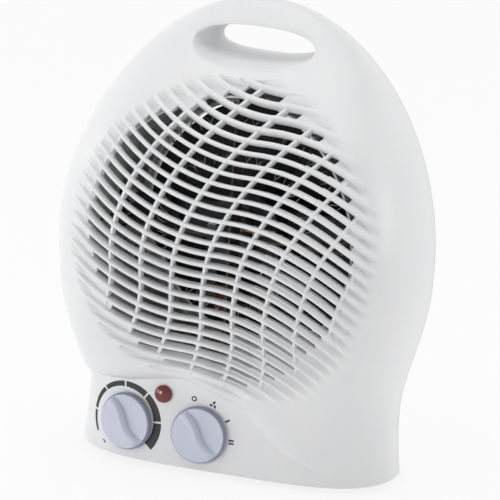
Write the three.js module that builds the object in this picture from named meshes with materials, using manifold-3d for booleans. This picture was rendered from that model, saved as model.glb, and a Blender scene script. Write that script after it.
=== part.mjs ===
// Upright fan convector heater: louvred front, handle slot, two control knobs and the works behind them.
// Everything on the leaned body is drawn in its own frame: x to the right, y backwards from the parting
// plane, z up along it. The feet stand upright.
import * as THREE from 'three';
import Module from 'manifold-3d';

const wasm = await Module();
wasm.setup();
const { Manifold, CrossSection } = wasm;

// Outside of the body, in millimetres and degrees
const LEAN_DEGREES = 8.9;
const BODY_HEIGHT = 257;
const HALF_WIDTH = 104.5;
const WAIST_HALF_WIDTH = 90;
const FRONT_DEPTH = 68.3;
const PANEL_DEPTH = 35.8;
const REAR_DEPTH = 47.5;
const FOOT_FLARE = 2.8;
const WALL = 2.5;

// Clearances and overlaps
const SEAM_GAP = 0.4;
const FIT_GAP = 0.45;
const RUNNING_GAP = 0.8;
const OVERRUN = 2;

// Handle slot
const HANDLE_HALF_WIDTH = 34.5;
const HANDLE_HALF_HEIGHT = 10.5;
const HANDLE_ROUND = 6;
const HANDLE_BAND = 14;
const HANDLE_LAND = 1.4;

// Front louvres and rear grille
const LOUVRE_DEPTH = 5;
const SLAT_PITCH = 6.28;
const SLAT_WIDTH = 2.1;
const RIB_PITCH = 17.9;
const RIB_WIDTH = 2.2;
const GRILLE_RIM = 4;
const LEDGE_WIDTH = 4;
const REAR_GRILLE_RADIUS = 72;
const REAR_GRILLE_THICKNESS = 3;
const REAR_BAR = 2.4;
const REAR_SPOKES = 16;

// Controls on the panel
const KNOB_RADIUS = 16;
const KNOB_THICKNESS = 3.2;
const KNOB_HUB_RADIUS = 4.4;
const GRIP_HEIGHT = 4.5;
const GRIP_WAIST = 4.2;
const GRIP_END = 9;
const GRIP_SWAY = 1.8;
const GRIP_DRAFT_SHARES = [0.82, 0.97];
const SPINDLE_RADIUS = 3;
const SPINDLE_FLAT = 1.1;
const THERMOSTAT_X = -55.7;
const THERMOSTAT_HEIGHT = 18.8;
const SELECTOR_X = -11.9;
const SELECTOR_HEIGHT = 18;
const CONTROL_BODY_RADIUS = 12.5;
const CONTROL_BODY_DEPTH = 15;
const CONTROL_SETBACK = 2.4;
const CONTROL_SCREW_OFFSET = 8.6;
const REST_TURN_DEGREES = -42;
const LAMP_X = -34.4;
const LAMP_HEIGHT = 37.6;
const LENS_RADIUS = 5;
const LENS_STEM_RADIUS = 3.7;
const LENS_STEM_LENGTH = 6;
const LENS_DOME_SHARES = [[0, 0.5], [0.5, 0.44], [0.86, 0.3]];
const NEON_RADIUS = 2.8;

// Heater, motor and fan
const DUCT_RADIUS = 76;
const SHEET = 1;
const MICA_THICKNESS = 1.2;
const MICA_DEPTH = 15;
const WIRE_RADIUS = 0.65;
const WAVE_DEPTH = 3.4;
const OUTER_WIRE_RADIUS = 62;
const INNER_WIRE_RADIUS = 42;
const OUTER_WAVES = 24;
const INNER_WAVES = 16;
const WAVE_STEPS = 6;
const OPEN_STEPS = 4;
const WIRE_SIDES = 4;
const WIRE_START_DEGREES = 225;
const CORE_RADIUS = 21;
const CORE_DEPTH = 14;
const ROTOR_RADIUS = 11.4;
const SHAFT_RADIUS = 2;
const COIL_BUILD = 4;
const BRACKET_THICKNESS = 1.6;
const FAN_RADIUS = 67;
const HUB_RADIUS = 11;
const FAN_DEPTH = 18;
const BLADE_THICKNESS = 1.6;
const BLADES = 5;
const BLADE_TURN_DEGREES = [24, 6];
const BLADE_ROOT_SHARE = 0.75;
const BLADE_FALL_SHARE = 0.3;
const BLADE_BOW_SHARE = 0.15;

// Fixings and feet
const SCREW_RADIUS = 1.7;
const SCREW_HEAD_RADIUS = 3.2;
const SCREW_HEAD = 2;
const POST_RADIUS = 5.2;
const SCREW_SEAT = 5;
const SCREW_REACH = 12;
const FOOT_HEIGHT = 3.2;
const FOOT_RADIUS = 6;
const FOOT_PEG_RADIUS = 2.4;
const BUSH_RADIUS = 5;
const INLET_HEIGHT = 22.7;
const DUCT_PLACE_DEGREES = [45, 135, 225, 315];
const SCREW_PLACE_SHARES = [[0.73, 0.2], [-0.73, 0.2], [0.67, 0.79], [-0.67, 0.79], [0.37, 0.06]];
const FRONT_FOOT_SHARES = [0.72, 0.45];
const REAR_FOOT_SHARES = [0.6, 0.6];

// Shapes, as shares of the body's height and depths
const WIDEST_SHARE = 0.482;
const WAIST_SHARE = 0.14;
const BELLY_SHARE = 0.389;
const FAN_SHARE = 0.51;
const FRONT_DEPTH_SHARES = [
  [0, 0.96], [0.389, 0.96], [0.506, 1], [0.603, 0.962], [0.72, 0.849],
  [0.825, 0.586], [0.914, 0.336], [1, 0.19],
];
const REAR_DEPTH_SHARES = [
  [0, 0.93], [0.233, 1], [0.506, 0.857], [0.778, 0.753], [0.903, 0.696], [1, 0.42],
];
const CREASE_SHARES = [
  [-0.93, 0.155], [-0.53, 0.167], [-0.21, 0.186], [-0.04, 0.166], [0.1, 0.146],
  [0.21, 0.109], [0.345, 0.063], [0.5, 0.033], [0.72, 0], [0.93, -0.016],
];
const WAIST_POWER = 1.27;
const CROWN_POWER = 1.94;
const FRONT_RIM_POWER = 6.17;
const FRONT_EDGE_POWER = 2.48;
const PANEL_RIM_POWER = 4.1;
const PANEL_EDGE_POWER = 2.2;
const REAR_RIM_POWER = 2.2;
const REAR_EDGE_POWER = 1.5;
const HANDLE_POWER = 2.3;

// Louvre pattern: rows and ribs bend as signed squares about a line that shifts from row to row
const SLAT_BEND = 0.005;
const SLAT_SHIFT = -2.03;
const SLAT_CENTRE = 0;
const RIB_BEND_UP = 0.0051;
const RIB_BEND_DOWN = 0.0082;
const RIB_SHIFT = -6.86;
const RIB_LEAN = -0.062;
const RIB_CENTRE = -4.9;
const RIB_TURN_SHARE = 0.3615;
const SLAT_CENTRE_SHARE = 0.4794;

// Mesh steps
const ROUND_STEPS = 28;
const SMALL_STEPS = 12;
const RING_STEPS = 40;
const SCREW_STEPS = 8;
const WIRE_END_STEPS = 8;
const MESH_TOLERANCE = 0.1;
const FRONT_ROW_POWER = 1.6;
const REAR_ROW_POWER = 1.35;
const ROLL_SHARES = [1, 0.6, 0.3, 0.1];
const CHIN_SHARES = [0, 0.015, 0.06, 0.14, 0.25, 0.4, 0.58, 0.78];
const PANEL_SHARES = [0, 0.3, 0.62, 0.85];
const BLADE_SPAN_SHARES = [0, 0.25, 0.5, 0.75, 1];
const BLADE_CHORD_SHARES = [-1, -0.4, 0.3, 1];

// Positions that follow from the sizes above
const lean = THREE.MathUtils.degToRad(LEAN_DEGREES);
const widestHeight = BODY_HEIGHT * WIDEST_SHARE;
const waistHeight = BODY_HEIGHT * WAIST_SHARE;
const bellyHeight = BODY_HEIGHT * BELLY_SHARE;
const fanHeight = BODY_HEIGHT * FAN_SHARE;
const handleHeight = BODY_HEIGHT - HANDLE_BAND - HANDLE_HALF_HEIGHT;
const handleFoot = handleHeight - HANDLE_HALF_HEIGHT - HANDLE_ROUND;
const grilleRadius = handleFoot - HANDLE_LAND - fanHeight;
const slotRadius = grilleRadius - GRILLE_RIM;
const reach = BODY_HEIGHT * 2;
const lowest = -FRONT_DEPTH * Math.sin(lean) - FOOT_HEIGHT;

// A smooth curve through stations that never overshoots them
function curveThrough(stations) {
  const gaps = [];
  const slopes = [];
  for (let i = 0; i + 1 < stations.length; i += 1) {
    gaps.push(stations[i + 1][0] - stations[i][0]);
    slopes.push((stations[i + 1][1] - stations[i][1]) / gaps[i]);
  }
  const tangents = stations.map((station, i) => {
    if (i === 0) return slopes[0];
    if (i === stations.length - 1) return slopes[i - 1];
    if (slopes[i - 1] * slopes[i] <= 0) return 0;
    const before = 2 * gaps[i] + gaps[i - 1];
    const after = gaps[i] + 2 * gaps[i - 1];
    return (before + after) / (before / slopes[i - 1] + after / slopes[i]);
  });
  return (at) => {
    const last = stations.length - 1;
    const here = Math.min(Math.max(at, stations[0][0]), stations[last][0]);
    let i = 0;
    while (i < last - 1 && here > stations[i + 1][0]) i += 1;
    const t = (here - stations[i][0]) / gaps[i];
    const rise = t * t * (3 - 2 * t);
    const ends = stations[i][1] * (1 - rise) + stations[i + 1][1] * rise;
    const bends = tangents[i] * t * (1 - t) ** 2 - tangents[i + 1] * t * t * (1 - t);
    return ends + gaps[i] * bends;
  };
}

const scaled = (shares, across, along) => shares.map(([a, b]) => [a * across, b * along]);
const bellyDepthAt = curveThrough(scaled(FRONT_DEPTH_SHARES, BODY_HEIGHT, FRONT_DEPTH));
const rearDepthAt = curveThrough(scaled(REAR_DEPTH_SHARES, BODY_HEIGHT, REAR_DEPTH));
const creaseAt = curveThrough(scaled(CREASE_SHARES, HALF_WIDTH, BODY_HEIGHT));

// Outline of the body, pulled in by an inset
function halfWidth(z, inset) {
  if (z >= widestHeight) {
    const rise = Math.min((z - widestHeight) / (BODY_HEIGHT - inset - widestHeight), 1);
    return (HALF_WIDTH - inset) * Math.sqrt(1 - rise ** CROWN_POWER);
  }
  const fall = Math.min((widestHeight - z) / (widestHeight - waistHeight), 1);
  const swell = (1 + Math.cos(Math.PI * fall ** WAIST_POWER)) / 2;
  const flare = FOOT_FLARE * Math.max(1 - z / waistHeight, 0) ** 2;
  return WAIST_HALF_WIDTH - inset + (HALF_WIDTH - WAIST_HALF_WIDTH) * swell + flare;
}

// Share of the way from the middle out to the rim
function rimShare(x, z, inset) {
  if (z < widestHeight) return Math.min(Math.abs(x) / halfWidth(z, inset), 1);
  const rise = Math.min((z - widestHeight) / (BODY_HEIGHT - inset - widestHeight), 1);
  return Math.min(Math.sqrt((x / (HALF_WIDTH - inset)) ** 2 + rise ** CROWN_POWER), 1);
}

// How far the chin has swelled from the panel to the belly: sharp on the left, soft on the right
function chinShare(x, z, inset) {
  const foot = creaseAt(x) + inset;
  const t = Math.min(Math.max((z - foot) / (bellyHeight - foot), 0), 1);
  const sharp = Math.sqrt(1 - (1 - t) ** 2);
  const soft = (1 - Math.cos(Math.PI * t)) / 2;
  const side = Math.min(Math.max(x / HALF_WIDTH, 0), 1);
  return sharp * (1 - side) ** 2 + soft * (1 - (1 - side) ** 2);
}

// Depths of the front and rear faces from the parting plane
function frontDepth(x, z, inset) {
  const belly = bellyDepthAt(z) - inset;
  const panel = PANEL_DEPTH - inset;
  const rim = rimShare(x, z, inset);
  const side = Math.min(Math.abs(x) / halfWidth(z, inset), 1);
  const bellyHere = belly * (1 - rim ** FRONT_RIM_POWER) ** (1 / FRONT_EDGE_POWER);
  const panelHere = panel * (1 - side ** PANEL_RIM_POWER) ** (1 / PANEL_EDGE_POWER);
  return panelHere + (bellyHere - panelHere) * chinShare(x, z, inset);
}

function rearDepth(x, z, inset) {
  const rim = rimShare(x, z, inset);
  return (rearDepthAt(z) - inset) * (1 - rim ** REAR_RIM_POWER) ** (1 / REAR_EDGE_POWER);
}

const frontY = (x, z, inset = 0) => -frontDepth(x, z, inset);
const rearY = (x, z, inset = 0) => rearDepth(x, z, inset);

// A solid from points and triangles, turned to face out
function solidOf(points, triangles) {
  let volume = 0;
  for (const [a, b, c] of triangles) {
    const [p, q, r] = [points[a], points[b], points[c]];
    volume += p[0] * (q[1] * r[2] - q[2] * r[1]);
    volume += p[1] * (q[2] * r[0] - q[0] * r[2]);
    volume += p[2] * (q[0] * r[1] - q[1] * r[0]);
  }
  const facing = volume < 0 ? triangles.map(([a, b, c]) => [a, c, b]) : triangles;
  const vertProperties = new Float32Array(points.flat());
  const triVerts = new Uint32Array(facing.flat());
  return new Manifold(new wasm.Mesh({ numProp: 3, vertProperties, triVerts }));
}

// A closed sheet between a face and its back, with cells left open where asked
function sheetOf(face, back, isOpen = () => false, wraps = false) {
  const rows = face.length;
  const columns = face[0].length;
  const points = [...face.flat(), ...back.flat()];
  const triangles = [];
  const at = (i, j, side) => side * rows * columns + i * columns + (j % columns);
  const quad = (a, b, c, d) => triangles.push([a, b, c], [a, c, d]);
  const cellColumns = wraps ? columns : columns - 1;
  const filled = (i, j) => {
    const inside = i >= 0 && i < rows - 1 && (wraps || (j >= 0 && j < cellColumns));
    return inside && !isOpen(i, (j + cellColumns) % cellColumns);
  };
  for (let i = 0; i < rows - 1; i += 1) {
    for (let j = 0; j < cellColumns; j += 1) {
      if (filled(i, j)) {
        quad(at(i, j, 0), at(i, j + 1, 0), at(i + 1, j + 1, 0), at(i + 1, j, 0));
        quad(at(i, j, 1), at(i + 1, j, 1), at(i + 1, j + 1, 1), at(i, j + 1, 1));
        if (!filled(i - 1, j)) quad(at(i, j, 0), at(i, j, 1), at(i, j + 1, 1), at(i, j + 1, 0));
        if (!filled(i + 1, j)) {
          quad(at(i + 1, j + 1, 0), at(i + 1, j + 1, 1), at(i + 1, j, 1), at(i + 1, j, 0));
        }
        if (!filled(i, j - 1)) quad(at(i + 1, j, 0), at(i + 1, j, 1), at(i, j, 1), at(i, j, 0));
        if (!filled(i, j + 1)) {
          quad(at(i, j + 1, 0), at(i, j + 1, 1), at(i + 1, j + 1, 1), at(i + 1, j + 1, 0));
        }
      }
    }
  }
  return solidOf(points, triangles);
}

// A solid lofted through rings of points, closed by a fan at each end
function loftOf(rings) {
  const count = rings[0].length;
  const points = rings.flat();
  const triangles = [];
  for (let i = 0; i + 1 < rings.length; i += 1) {
    for (let j = 0; j < count; j += 1) {
      const next = (j + 1) % count;
      triangles.push([i * count + j, i * count + next, (i + 1) * count + next]);
      triangles.push([i * count + j, (i + 1) * count + next, (i + 1) * count + j]);
    }
  }
  for (const [ring, turned] of [[0, true], [rings.length - 1, false]]) {
    const middle = [0, 1, 2].map((k) => rings[ring].reduce((sum, p) => sum + p[k], 0) / count);
    const hub = points.push(middle) - 1;
    for (let j = 0; j < count; j += 1) {
      const pair = [ring * count + j, ring * count + ((j + 1) % count)];
      triangles.push(turned ? [hub, pair[1], pair[0]] : [hub, pair[0], pair[1]]);
    }
  }
  return solidOf(points, triangles);
}

// A round rod along y
function rod(x, z, from, to, radius, steps = SMALL_STEPS) {
  const bar = Manifold.cylinder(to - from, radius, radius, steps);
  return bar.rotate([90, 0, 0]).translate([x, to, z]);
}

// A turned piece about y from [radius, y] pairs
function turned(profile, steps = ROUND_STEPS) {
  return Manifold.revolve(CrossSection.ofPolygons([profile], 'NonZero'), steps).rotate([-90, 0, 0]);
}

// A box between two corners
function boxOf(low, high) {
  const sides = [0, 1, 2].map((k) => high[k] - low[k]);
  return Manifold.cube(sides).translate(low);
}

// A ring about the fan axis whose faces follow two depth laws
function ringOf(inner, outer, nearY, farY, steps = RING_STEPS) {
  const radii = outer - inner > GRILLE_RIM + WALL ? [inner, (inner + outer) / 2, outer] : [inner, outer];
  const around = (radius) => Array.from({ length: steps }, (_, k) => {
    const turn = (2 * Math.PI * k) / steps;
    return [radius * Math.sin(turn), fanHeight + radius * Math.cos(turn)];
  });
  const rows = radii.map(around);
  const near = rows.map((row) => row.map(([x, z]) => [x, nearY(x, z), z]));
  const far = rows.map((row) => row.map(([x, z]) => [x, farY(x, z), z]));
  return sheetOf(near, far, () => false, true);
}

// Everything above a level of the room, seen in the body's leaned frame
function aboveLevel(level) {
  return boxOf([-reach, -reach, level], [reach, reach, reach]).rotate([LEAN_DEGREES, 0, 0]);
}

// Heights of the rows of the front and rear faces
function frontRows(column, inset, upperCount) {
  const foot = creaseAt(column * WAIST_HALF_WIDTH) + inset;
  const below = PANEL_SHARES.map((share) => lowest + share * (foot - lowest));
  const chin = CHIN_SHARES.map((share) => foot + share * (bellyHeight - foot));
  const top = BODY_HEIGHT - inset - WALL / ROUND_STEPS;
  const upper = Array.from({ length: upperCount + 1 }, (_, k) => {
    return top - (top - bellyHeight) * (1 - k / upperCount) ** FRONT_ROW_POWER;
  });
  return [...below, ...chin, ...upper];
}

function rearRows(column, inset, count) {
  const top = BODY_HEIGHT - inset - WALL / ROUND_STEPS;
  return Array.from({ length: count + 1 }, (_, k) => {
    return top - (top - lowest) * (1 - k / count) ** REAR_ROW_POWER;
  });
}

// One half of the body as a solid that starts behind the parting plane
function halfBody(yAt, rowsAt, inset, columnCount, rowCount) {
  const back = yAt === frontY ? OVERRUN : -OVERRUN;
  const columns = Array.from({ length: 2 * columnCount + 1 }, (_, k) => {
    const t = k / columnCount - 1;
    return Math.sign(t) * (1 - (1 - Math.abs(t)) ** 2);
  });
  const grid = columns.map((column) => rowsAt(column, inset, rowCount).map((z) => {
    return [column * halfWidth(z, inset), z];
  }));
  const face = grid.map((line) => line.map(([x, z]) => [x, yAt(x, z, inset), z]));
  const flat = grid.map((line) => line.map(([x, z]) => [x, back, z]));
  return sheetOf(face, flat);
}

// Rings of the handle slot, widened by an extra and rounded over at the face
function slotRings(yAt, extra) {
  const outward = yAt === frontY ? -1 : 1;
  const ring = (offset, depth) => Array.from({ length: ROUND_STEPS }, (_, k) => {
    const turn = (2 * Math.PI * k) / ROUND_STEPS;
    const [c, s] = [Math.cos(turn), Math.sin(turn)];
    const x = (HANDLE_HALF_WIDTH + offset) * Math.sign(c) * Math.abs(c) ** (2 / HANDLE_POWER);
    const up = (HANDLE_HALF_HEIGHT + offset) * Math.sign(s) * Math.abs(s) ** (2 / HANDLE_POWER);
    const z = handleHeight + up;
    const surface = Math.abs(yAt(x, Math.min(z, BODY_HEIGHT)));
    const reached = depth === null ? -OVERRUN : Math.max(surface - depth, OVERRUN / 2);
    return [x, outward * reached, z];
  });
  const rolled = ROLL_SHARES.map((share) => {
    const offset = HANDLE_ROUND * (1 - Math.sqrt(1 - (1 - share) ** 2));
    return ring(extra + offset, HANDLE_ROUND * share);
  });
  return [ring(extra, null), ...rolled, ring(extra + HANDLE_ROUND, -HANDLE_ROUND)];
}

// Places of the screws that join the two halves
const screwPlaces = scaled(SCREW_PLACE_SHARES, HALF_WIDTH, BODY_HEIGHT);
const ductFootY = -MICA_DEPTH;
const ductPostRadius = DUCT_RADIUS + SHEET + RUNNING_GAP + POST_RADIUS;
const ductPlaces = DUCT_PLACE_DEGREES.map((degrees) => {
  const turn = THREE.MathUtils.degToRad(degrees);
  return [ductPostRadius * Math.cos(turn), fanHeight + ductPostRadius * Math.sin(turn)];
});
const bracketBackY = -WALL;
const bracketFrontY = bracketBackY - BRACKET_THICKNESS;
const bracketPlaces = [1, -1].map((side) => [side * (ductPostRadius + POST_RADIUS / 2), fanHeight]);

// Frames of the two controls: where their axes leave the panel and how they turn with its face
function controlFrame(x, z) {
  const slope = (frontDepth(x + WALL, z, 0) - frontDepth(x - WALL, z, 0)) / (2 * WALL);
  return { x, y: frontY(x, z), z, turn: THREE.MathUtils.radToDeg(-Math.atan(slope)) };
}
const thermostatAt = controlFrame(THERMOSTAT_X, THERMOSTAT_HEIGHT);
const selectorAt = controlFrame(SELECTOR_X, SELECTOR_HEIGHT);
const lampSeat = [-1, 0, 1].flatMap((i) => [-1, 0, 1].map((j) => {
  return frontY(LAMP_X + i * LENS_RADIUS, LAMP_HEIGHT + j * LENS_RADIUS);
}));
const lampAt = { x: LAMP_X, y: Math.min(...lampSeat), z: LAMP_HEIGHT, turn: 0 };
const place = (solid, at) => solid.rotate([0, 0, at.turn]).translate([at.x, at.y, at.z]);

// Front half of the housing
const frontOuter = halfBody(frontY, frontRows, 0, 14, 14).intersect(aboveLevel(FOOT_HEIGHT));
const frontInner = halfBody(frontY, frontRows, WALL, 8, 8).intersect(aboveLevel(FOOT_HEIGHT + WALL));
const frontSlot = loftOf(slotRings(frontY, 0));
const frontSleeve = loftOf(slotRings(frontY, WALL));
const behindLouvres = (x, z) => frontY(x, z) + LOUVRE_DEPTH + 2 * RUNNING_GAP;
const behindLedge = (x, z) => behindLouvres(x, z) + WALL;
const openingRadius = grilleRadius + FIT_GAP;
const collar = ringOf(openingRadius, openingRadius + WALL, (x, z) => frontY(x, z), behindLedge);
const ledge = ringOf(openingRadius - LEDGE_WIDTH, openingRadius + WALL, behindLouvres, behindLedge);
const frontPosts = screwPlaces.map(([x, z]) => rod(x, z, -reach, 0, POST_RADIUS));
const pilotHoles = screwPlaces.map(([x, z]) => {
  return rod(x, z, -SCREW_REACH - OVERRUN, OVERRUN, SCREW_RADIUS + FIT_GAP);
});
const controlHoles = [thermostatAt, selectorAt].map((at) => {
  const hub = rod(0, 0, -OVERRUN, WALL + OVERRUN, KNOB_HUB_RADIUS + RUNNING_GAP);
  const screws = [1, -1].map((side) => {
    return rod(side * CONTROL_SCREW_OFFSET, 0, -OVERRUN, WALL + OVERRUN, SCREW_RADIUS + FIT_GAP);
  });
  return place(Manifold.union([hub, ...screws]), at);
});
const lampHole = rod(LAMP_X, LAMP_HEIGHT, -reach, -SCREW_REACH, LENS_STEM_RADIUS + FIT_GAP);
const frontFeet = [1, -1].map((side) => {
  return [side * FRONT_FOOT_SHARES[0] * WAIST_HALF_WIDTH, -FRONT_FOOT_SHARES[1] * PANEL_DEPTH];
});
const rearFeet = [1, -1].map((side) => {
  return [side * REAR_FOOT_SHARES[0] * WAIST_HALF_WIDTH, REAR_FOOT_SHARES[1] * REAR_DEPTH];
});
const footHoles = [...frontFeet, ...rearFeet].map(([x, y]) => {
  const hole = Manifold.cylinder(FOOT_HEIGHT + WALL * 2, FOOT_PEG_RADIUS + FIT_GAP, undefined, SMALL_STEPS);
  return hole.translate([x, y, 0]).rotate([LEAN_DEGREES, 0, 0]);
});
const beforeSeam = boxOf([-reach, -reach, -reach], [reach, -SEAM_GAP / 2, reach]);
const behindSeam = boxOf([-reach, SEAM_GAP / 2, -reach], [reach, reach, reach]);
const frontRaised = Manifold.union([
  frontOuter.subtract(frontInner),
  frontOuter.intersect(Manifold.union([frontSleeve, collar, ledge, ...frontPosts])),
]);
const frontCuts = Manifold.union([
  frontSlot,
  rod(0, fanHeight, -reach, -reach / 2, openingRadius),
  ...pilotHoles,
  ...controlHoles,
  ...footHoles,
  lampHole,
]);
const opening = ringOf(openingRadius - 2 * LEDGE_WIDTH, openingRadius, () => -reach, behindLouvres);
const innerOpening = rod(0, fanHeight, -reach, OVERRUN, openingRadius - LEDGE_WIDTH, RING_STEPS);
const frontHousing = frontRaised.subtract(frontCuts).subtract(opening).subtract(innerOpening)
  .intersect(beforeSeam);

// Front louvres: a lattice of wavy slats and ribs inside a rim that follows the face
const slatCentreHeight = BODY_HEIGHT * SLAT_CENTRE_SHARE;
const ribTurnHeight = BODY_HEIGHT * RIB_TURN_SHARE;

function slatHeight(row, x) {
  const u = x - SLAT_CENTRE - SLAT_SHIFT * row;
  return slatCentreHeight - SLAT_PITCH * row - Math.sign(u) * SLAT_BEND * u * u;
}

function ribPlace(rib, z) {
  const u = z - ribTurnHeight - RIB_SHIFT * rib;
  const bend = u > 0 ? RIB_BEND_UP : -RIB_BEND_DOWN;
  return RIB_CENTRE + RIB_PITCH * rib + RIB_LEAN * u + bend * u * u;
}

function latticePoint(row, rowEdge, rib, ribEdge) {
  let x = ribPlace(rib, slatCentreHeight - SLAT_PITCH * row);
  let z = slatHeight(row, x);
  for (let k = 0; k < ROUND_STEPS; k += 1) {
    x = (x + ribPlace(rib, z) + ribEdge) / 2;
    z = (z + slatHeight(row, x) + rowEdge) / 2;
  }
  return [x, z];
}

const rowCount = Math.ceil(grilleRadius / SLAT_PITCH) + 5;
const ribCount = Math.ceil(grilleRadius / RIB_PITCH) + 2;
const rowLines = [];
for (let row = -rowCount; row <= rowCount; row += 1) {
  rowLines.push([row + 1 / 2, SLAT_WIDTH / 2], [row + 1 / 2, -SLAT_WIDTH / 2]);
}
const ribLines = [];
for (let rib = -ribCount; rib <= ribCount; rib += 1) {
  ribLines.push([rib, -RIB_WIDTH / 2], [rib, RIB_WIDTH / 2]);
}
const lattice = rowLines.map(([row, rowEdge]) => ribLines.map(([rib, ribEdge]) => {
  return latticePoint(row, rowEdge, rib, ribEdge);
}));
const latticeFace = lattice.map((line) => line.map(([x, z]) => [x, frontY(x, z), z]));
const latticeBack = lattice.map((line) => line.map(([x, z]) => [x, frontY(x, z) + LOUVRE_DEPTH, z]));
const latticeSheet = sheetOf(latticeFace, latticeBack, (i, j) => i % 2 === 1 && j % 2 === 1);
const slotDisc = rod(0, fanHeight, -reach, reach, slotRadius + RIB_WIDTH / 2, RING_STEPS);
const louvreBack = (x, z) => frontY(x, z) + LOUVRE_DEPTH;
const grilleRim = ringOf(slotRadius, grilleRadius, (x, z) => frontY(x, z), louvreBack);
const frontGrille = latticeSheet.intersect(slotDisc).add(grilleRim);

// The largest body of a solid, with needless triangles and any sealed pocket inside it gone
function wholeOf(solid) {
  const largest = (bodies) => bodies.sort((a, b) => b.volume() - a.volume())[0];
  return largest(largest(solid.decompose()).asOriginal().simplify(MESH_TOLERANCE).decompose());
}

// Rear half of the housing, with the fan ring, the posts and the cord inlet
const rearOuter = halfBody(rearY, rearRows, 0, 10, 13).intersect(aboveLevel(FOOT_HEIGHT));
const rearInner = halfBody(rearY, rearRows, WALL, 7, 10).intersect(aboveLevel(FOOT_HEIGHT + WALL));
const aheadGrille = (x, z) => rearY(x, z) - REAR_GRILLE_THICKNESS - 2 * FIT_GAP;
const aheadLedge = (x, z) => aheadGrille(x, z) - WALL;
const rearOpeningRadius = REAR_GRILLE_RADIUS + 2 * FIT_GAP;
const rearRimTurns = Array.from({ length: SMALL_STEPS }, (_, k) => (2 * Math.PI * k) / SMALL_STEPS);
const fanRoom = Math.min(...rearRimTurns.map((turn) => {
  return rearY(FAN_RADIUS * Math.sin(turn), fanHeight + FAN_RADIUS * Math.cos(turn));
}));
const fanBackY = fanRoom - REAR_GRILLE_THICKNESS - 2 * RUNNING_GAP;
const fanFrontY = fanBackY - FAN_DEPTH;
const rearCollar = ringOf(rearOpeningRadius, rearOpeningRadius + WALL, aheadLedge, rearY);
const rearLedge = ringOf(rearOpeningRadius - LEDGE_WIDTH, rearOpeningRadius + WALL, aheadLedge, aheadGrille);
const fanRing = ringOf(FAN_RADIUS + WALL, FAN_RADIUS + 2 * WALL, () => fanFrontY - OVERRUN, aheadGrille);
const rearOpening = ringOf(WALL, rearOpeningRadius, aheadGrille, () => reach);
const rearInnerOpening = rod(0, fanHeight, SEAM_GAP, reach, rearOpeningRadius - LEDGE_WIDTH, RING_STEPS);
const rearPosts = screwPlaces.map(([x, z]) => rod(x, z, 0, reach, POST_RADIUS));
const longPost = ([x, z], from) => {
  const behind = rod(x, z, 0, reach, POST_RADIUS).intersect(rearOuter);
  return rod(x, z, from, OVERRUN, POST_RADIUS).add(behind);
};
const ductPosts = ductPlaces.map((at) => longPost(at, ductFootY + FIT_GAP));
const bracketPosts = bracketPlaces.map((at) => longPost(at, bracketBackY + FIT_GAP));
const headBores = screwPlaces.map(([x, z]) => rod(x, z, SCREW_SEAT, reach, SCREW_HEAD_RADIUS + FIT_GAP));
const shankBores = screwPlaces.map(([x, z]) => rod(x, z, 0, reach, SCREW_RADIUS + FIT_GAP));
const pilotOf = ([x, z], from) => {
  return rod(x, z, from - OVERRUN, from + SCREW_REACH + OVERRUN, SCREW_RADIUS + FIT_GAP);
};
const postPilots = [
  ...ductPlaces.map((at) => pilotOf(at, ductFootY)),
  ...bracketPlaces.map((at) => pilotOf(at, bracketBackY)),
];
const inletY = rearY(0, INLET_HEIGHT);
const inletHole = rod(0, INLET_HEIGHT, SEAM_GAP, reach, BUSH_RADIUS + FIT_GAP);
const blockLow = [-2 * KNOB_RADIUS, 2 * BUSH_RADIUS, 2 * FOOT_RADIUS + WALL];
const blockHigh = [-SPINDLE_RADIUS * 4, 4 * BUSH_RADIUS, 4 * FOOT_RADIUS];
const riser = boxOf(
  [blockLow[0] + WALL, blockLow[1] + WALL, lowest],
  [blockHigh[0] - WALL, blockHigh[1] - WALL, blockLow[2] - FIT_GAP],
).intersect(rearOuter);
const rearShell = Manifold.union([
  rearOuter.subtract(rearInner),
  rearOuter.intersect(Manifold.union([loftOf(slotRings(rearY, WALL)), rearCollar, rearLedge, fanRing])),
  ...rearPosts.map((post) => post.intersect(rearOuter)),
  riser,
]).intersect(behindSeam);
const rearHousing = rearShell
  .subtract(Manifold.union([rearOpening, rearInnerOpening]))
  .add(fanRing.intersect(rearOuter.intersect(behindSeam)))
  .add(Manifold.union([...ductPosts, ...bracketPosts]))
  .subtract(Manifold.union([
    loftOf(slotRings(rearY, 0)), ...headBores, ...shankBores, ...postPilots, ...footHoles, inletHole,
  ]));

// Rear intake grille: rings and spokes that follow the rear face
const rearRings = [];
const ringBars = Math.round(REAR_GRILLE_RADIUS / (4 * REAR_BAR));
for (let k = 1; k <= ringBars; k += 1) {
  const middle = (REAR_GRILLE_RADIUS * k) / ringBars - REAR_BAR / 2;
  rearRings.push(middle - REAR_BAR / 2, middle + REAR_BAR / 2);
}
const spokeTurns = [];
const spokes = REAR_SPOKES;
for (let k = 0; k < spokes; k += 1) {
  const turn = (2 * Math.PI * k) / spokes;
  spokeTurns.push([turn, -REAR_BAR / 2], [turn, REAR_BAR / 2]);
}
const spokePoint = (radius, [turn, aside]) => {
  const within = Math.min(Math.abs(aside), radius * Math.sin(Math.PI / spokes / 2));
  const angle = turn + Math.sign(aside) * Math.asin(within / radius);
  return [radius * Math.sin(angle), fanHeight + radius * Math.cos(angle)];
};
const rearGrid = rearRings.map((radius) => spokeTurns.map((spoke) => spokePoint(radius, spoke)));
const rearGrilleFace = rearGrid.map((line) => line.map(([x, z]) => [x, rearY(x, z), z]));
const rearGrilleBack = rearGrilleFace.map((line) => {
  return line.map(([x, y, z]) => [x, y - REAR_GRILLE_THICKNESS, z]);
});
const rearGrilleSheet = sheetOf(rearGrilleBack, rearGrilleFace, (i, j) => i % 2 === 1 && j % 2 === 1, true);
const hubDiscRadius = rearRings[0] + REAR_BAR / 2;
const grilleBackY = (x, z) => rearY(x, z) - REAR_GRILLE_THICKNESS;
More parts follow.
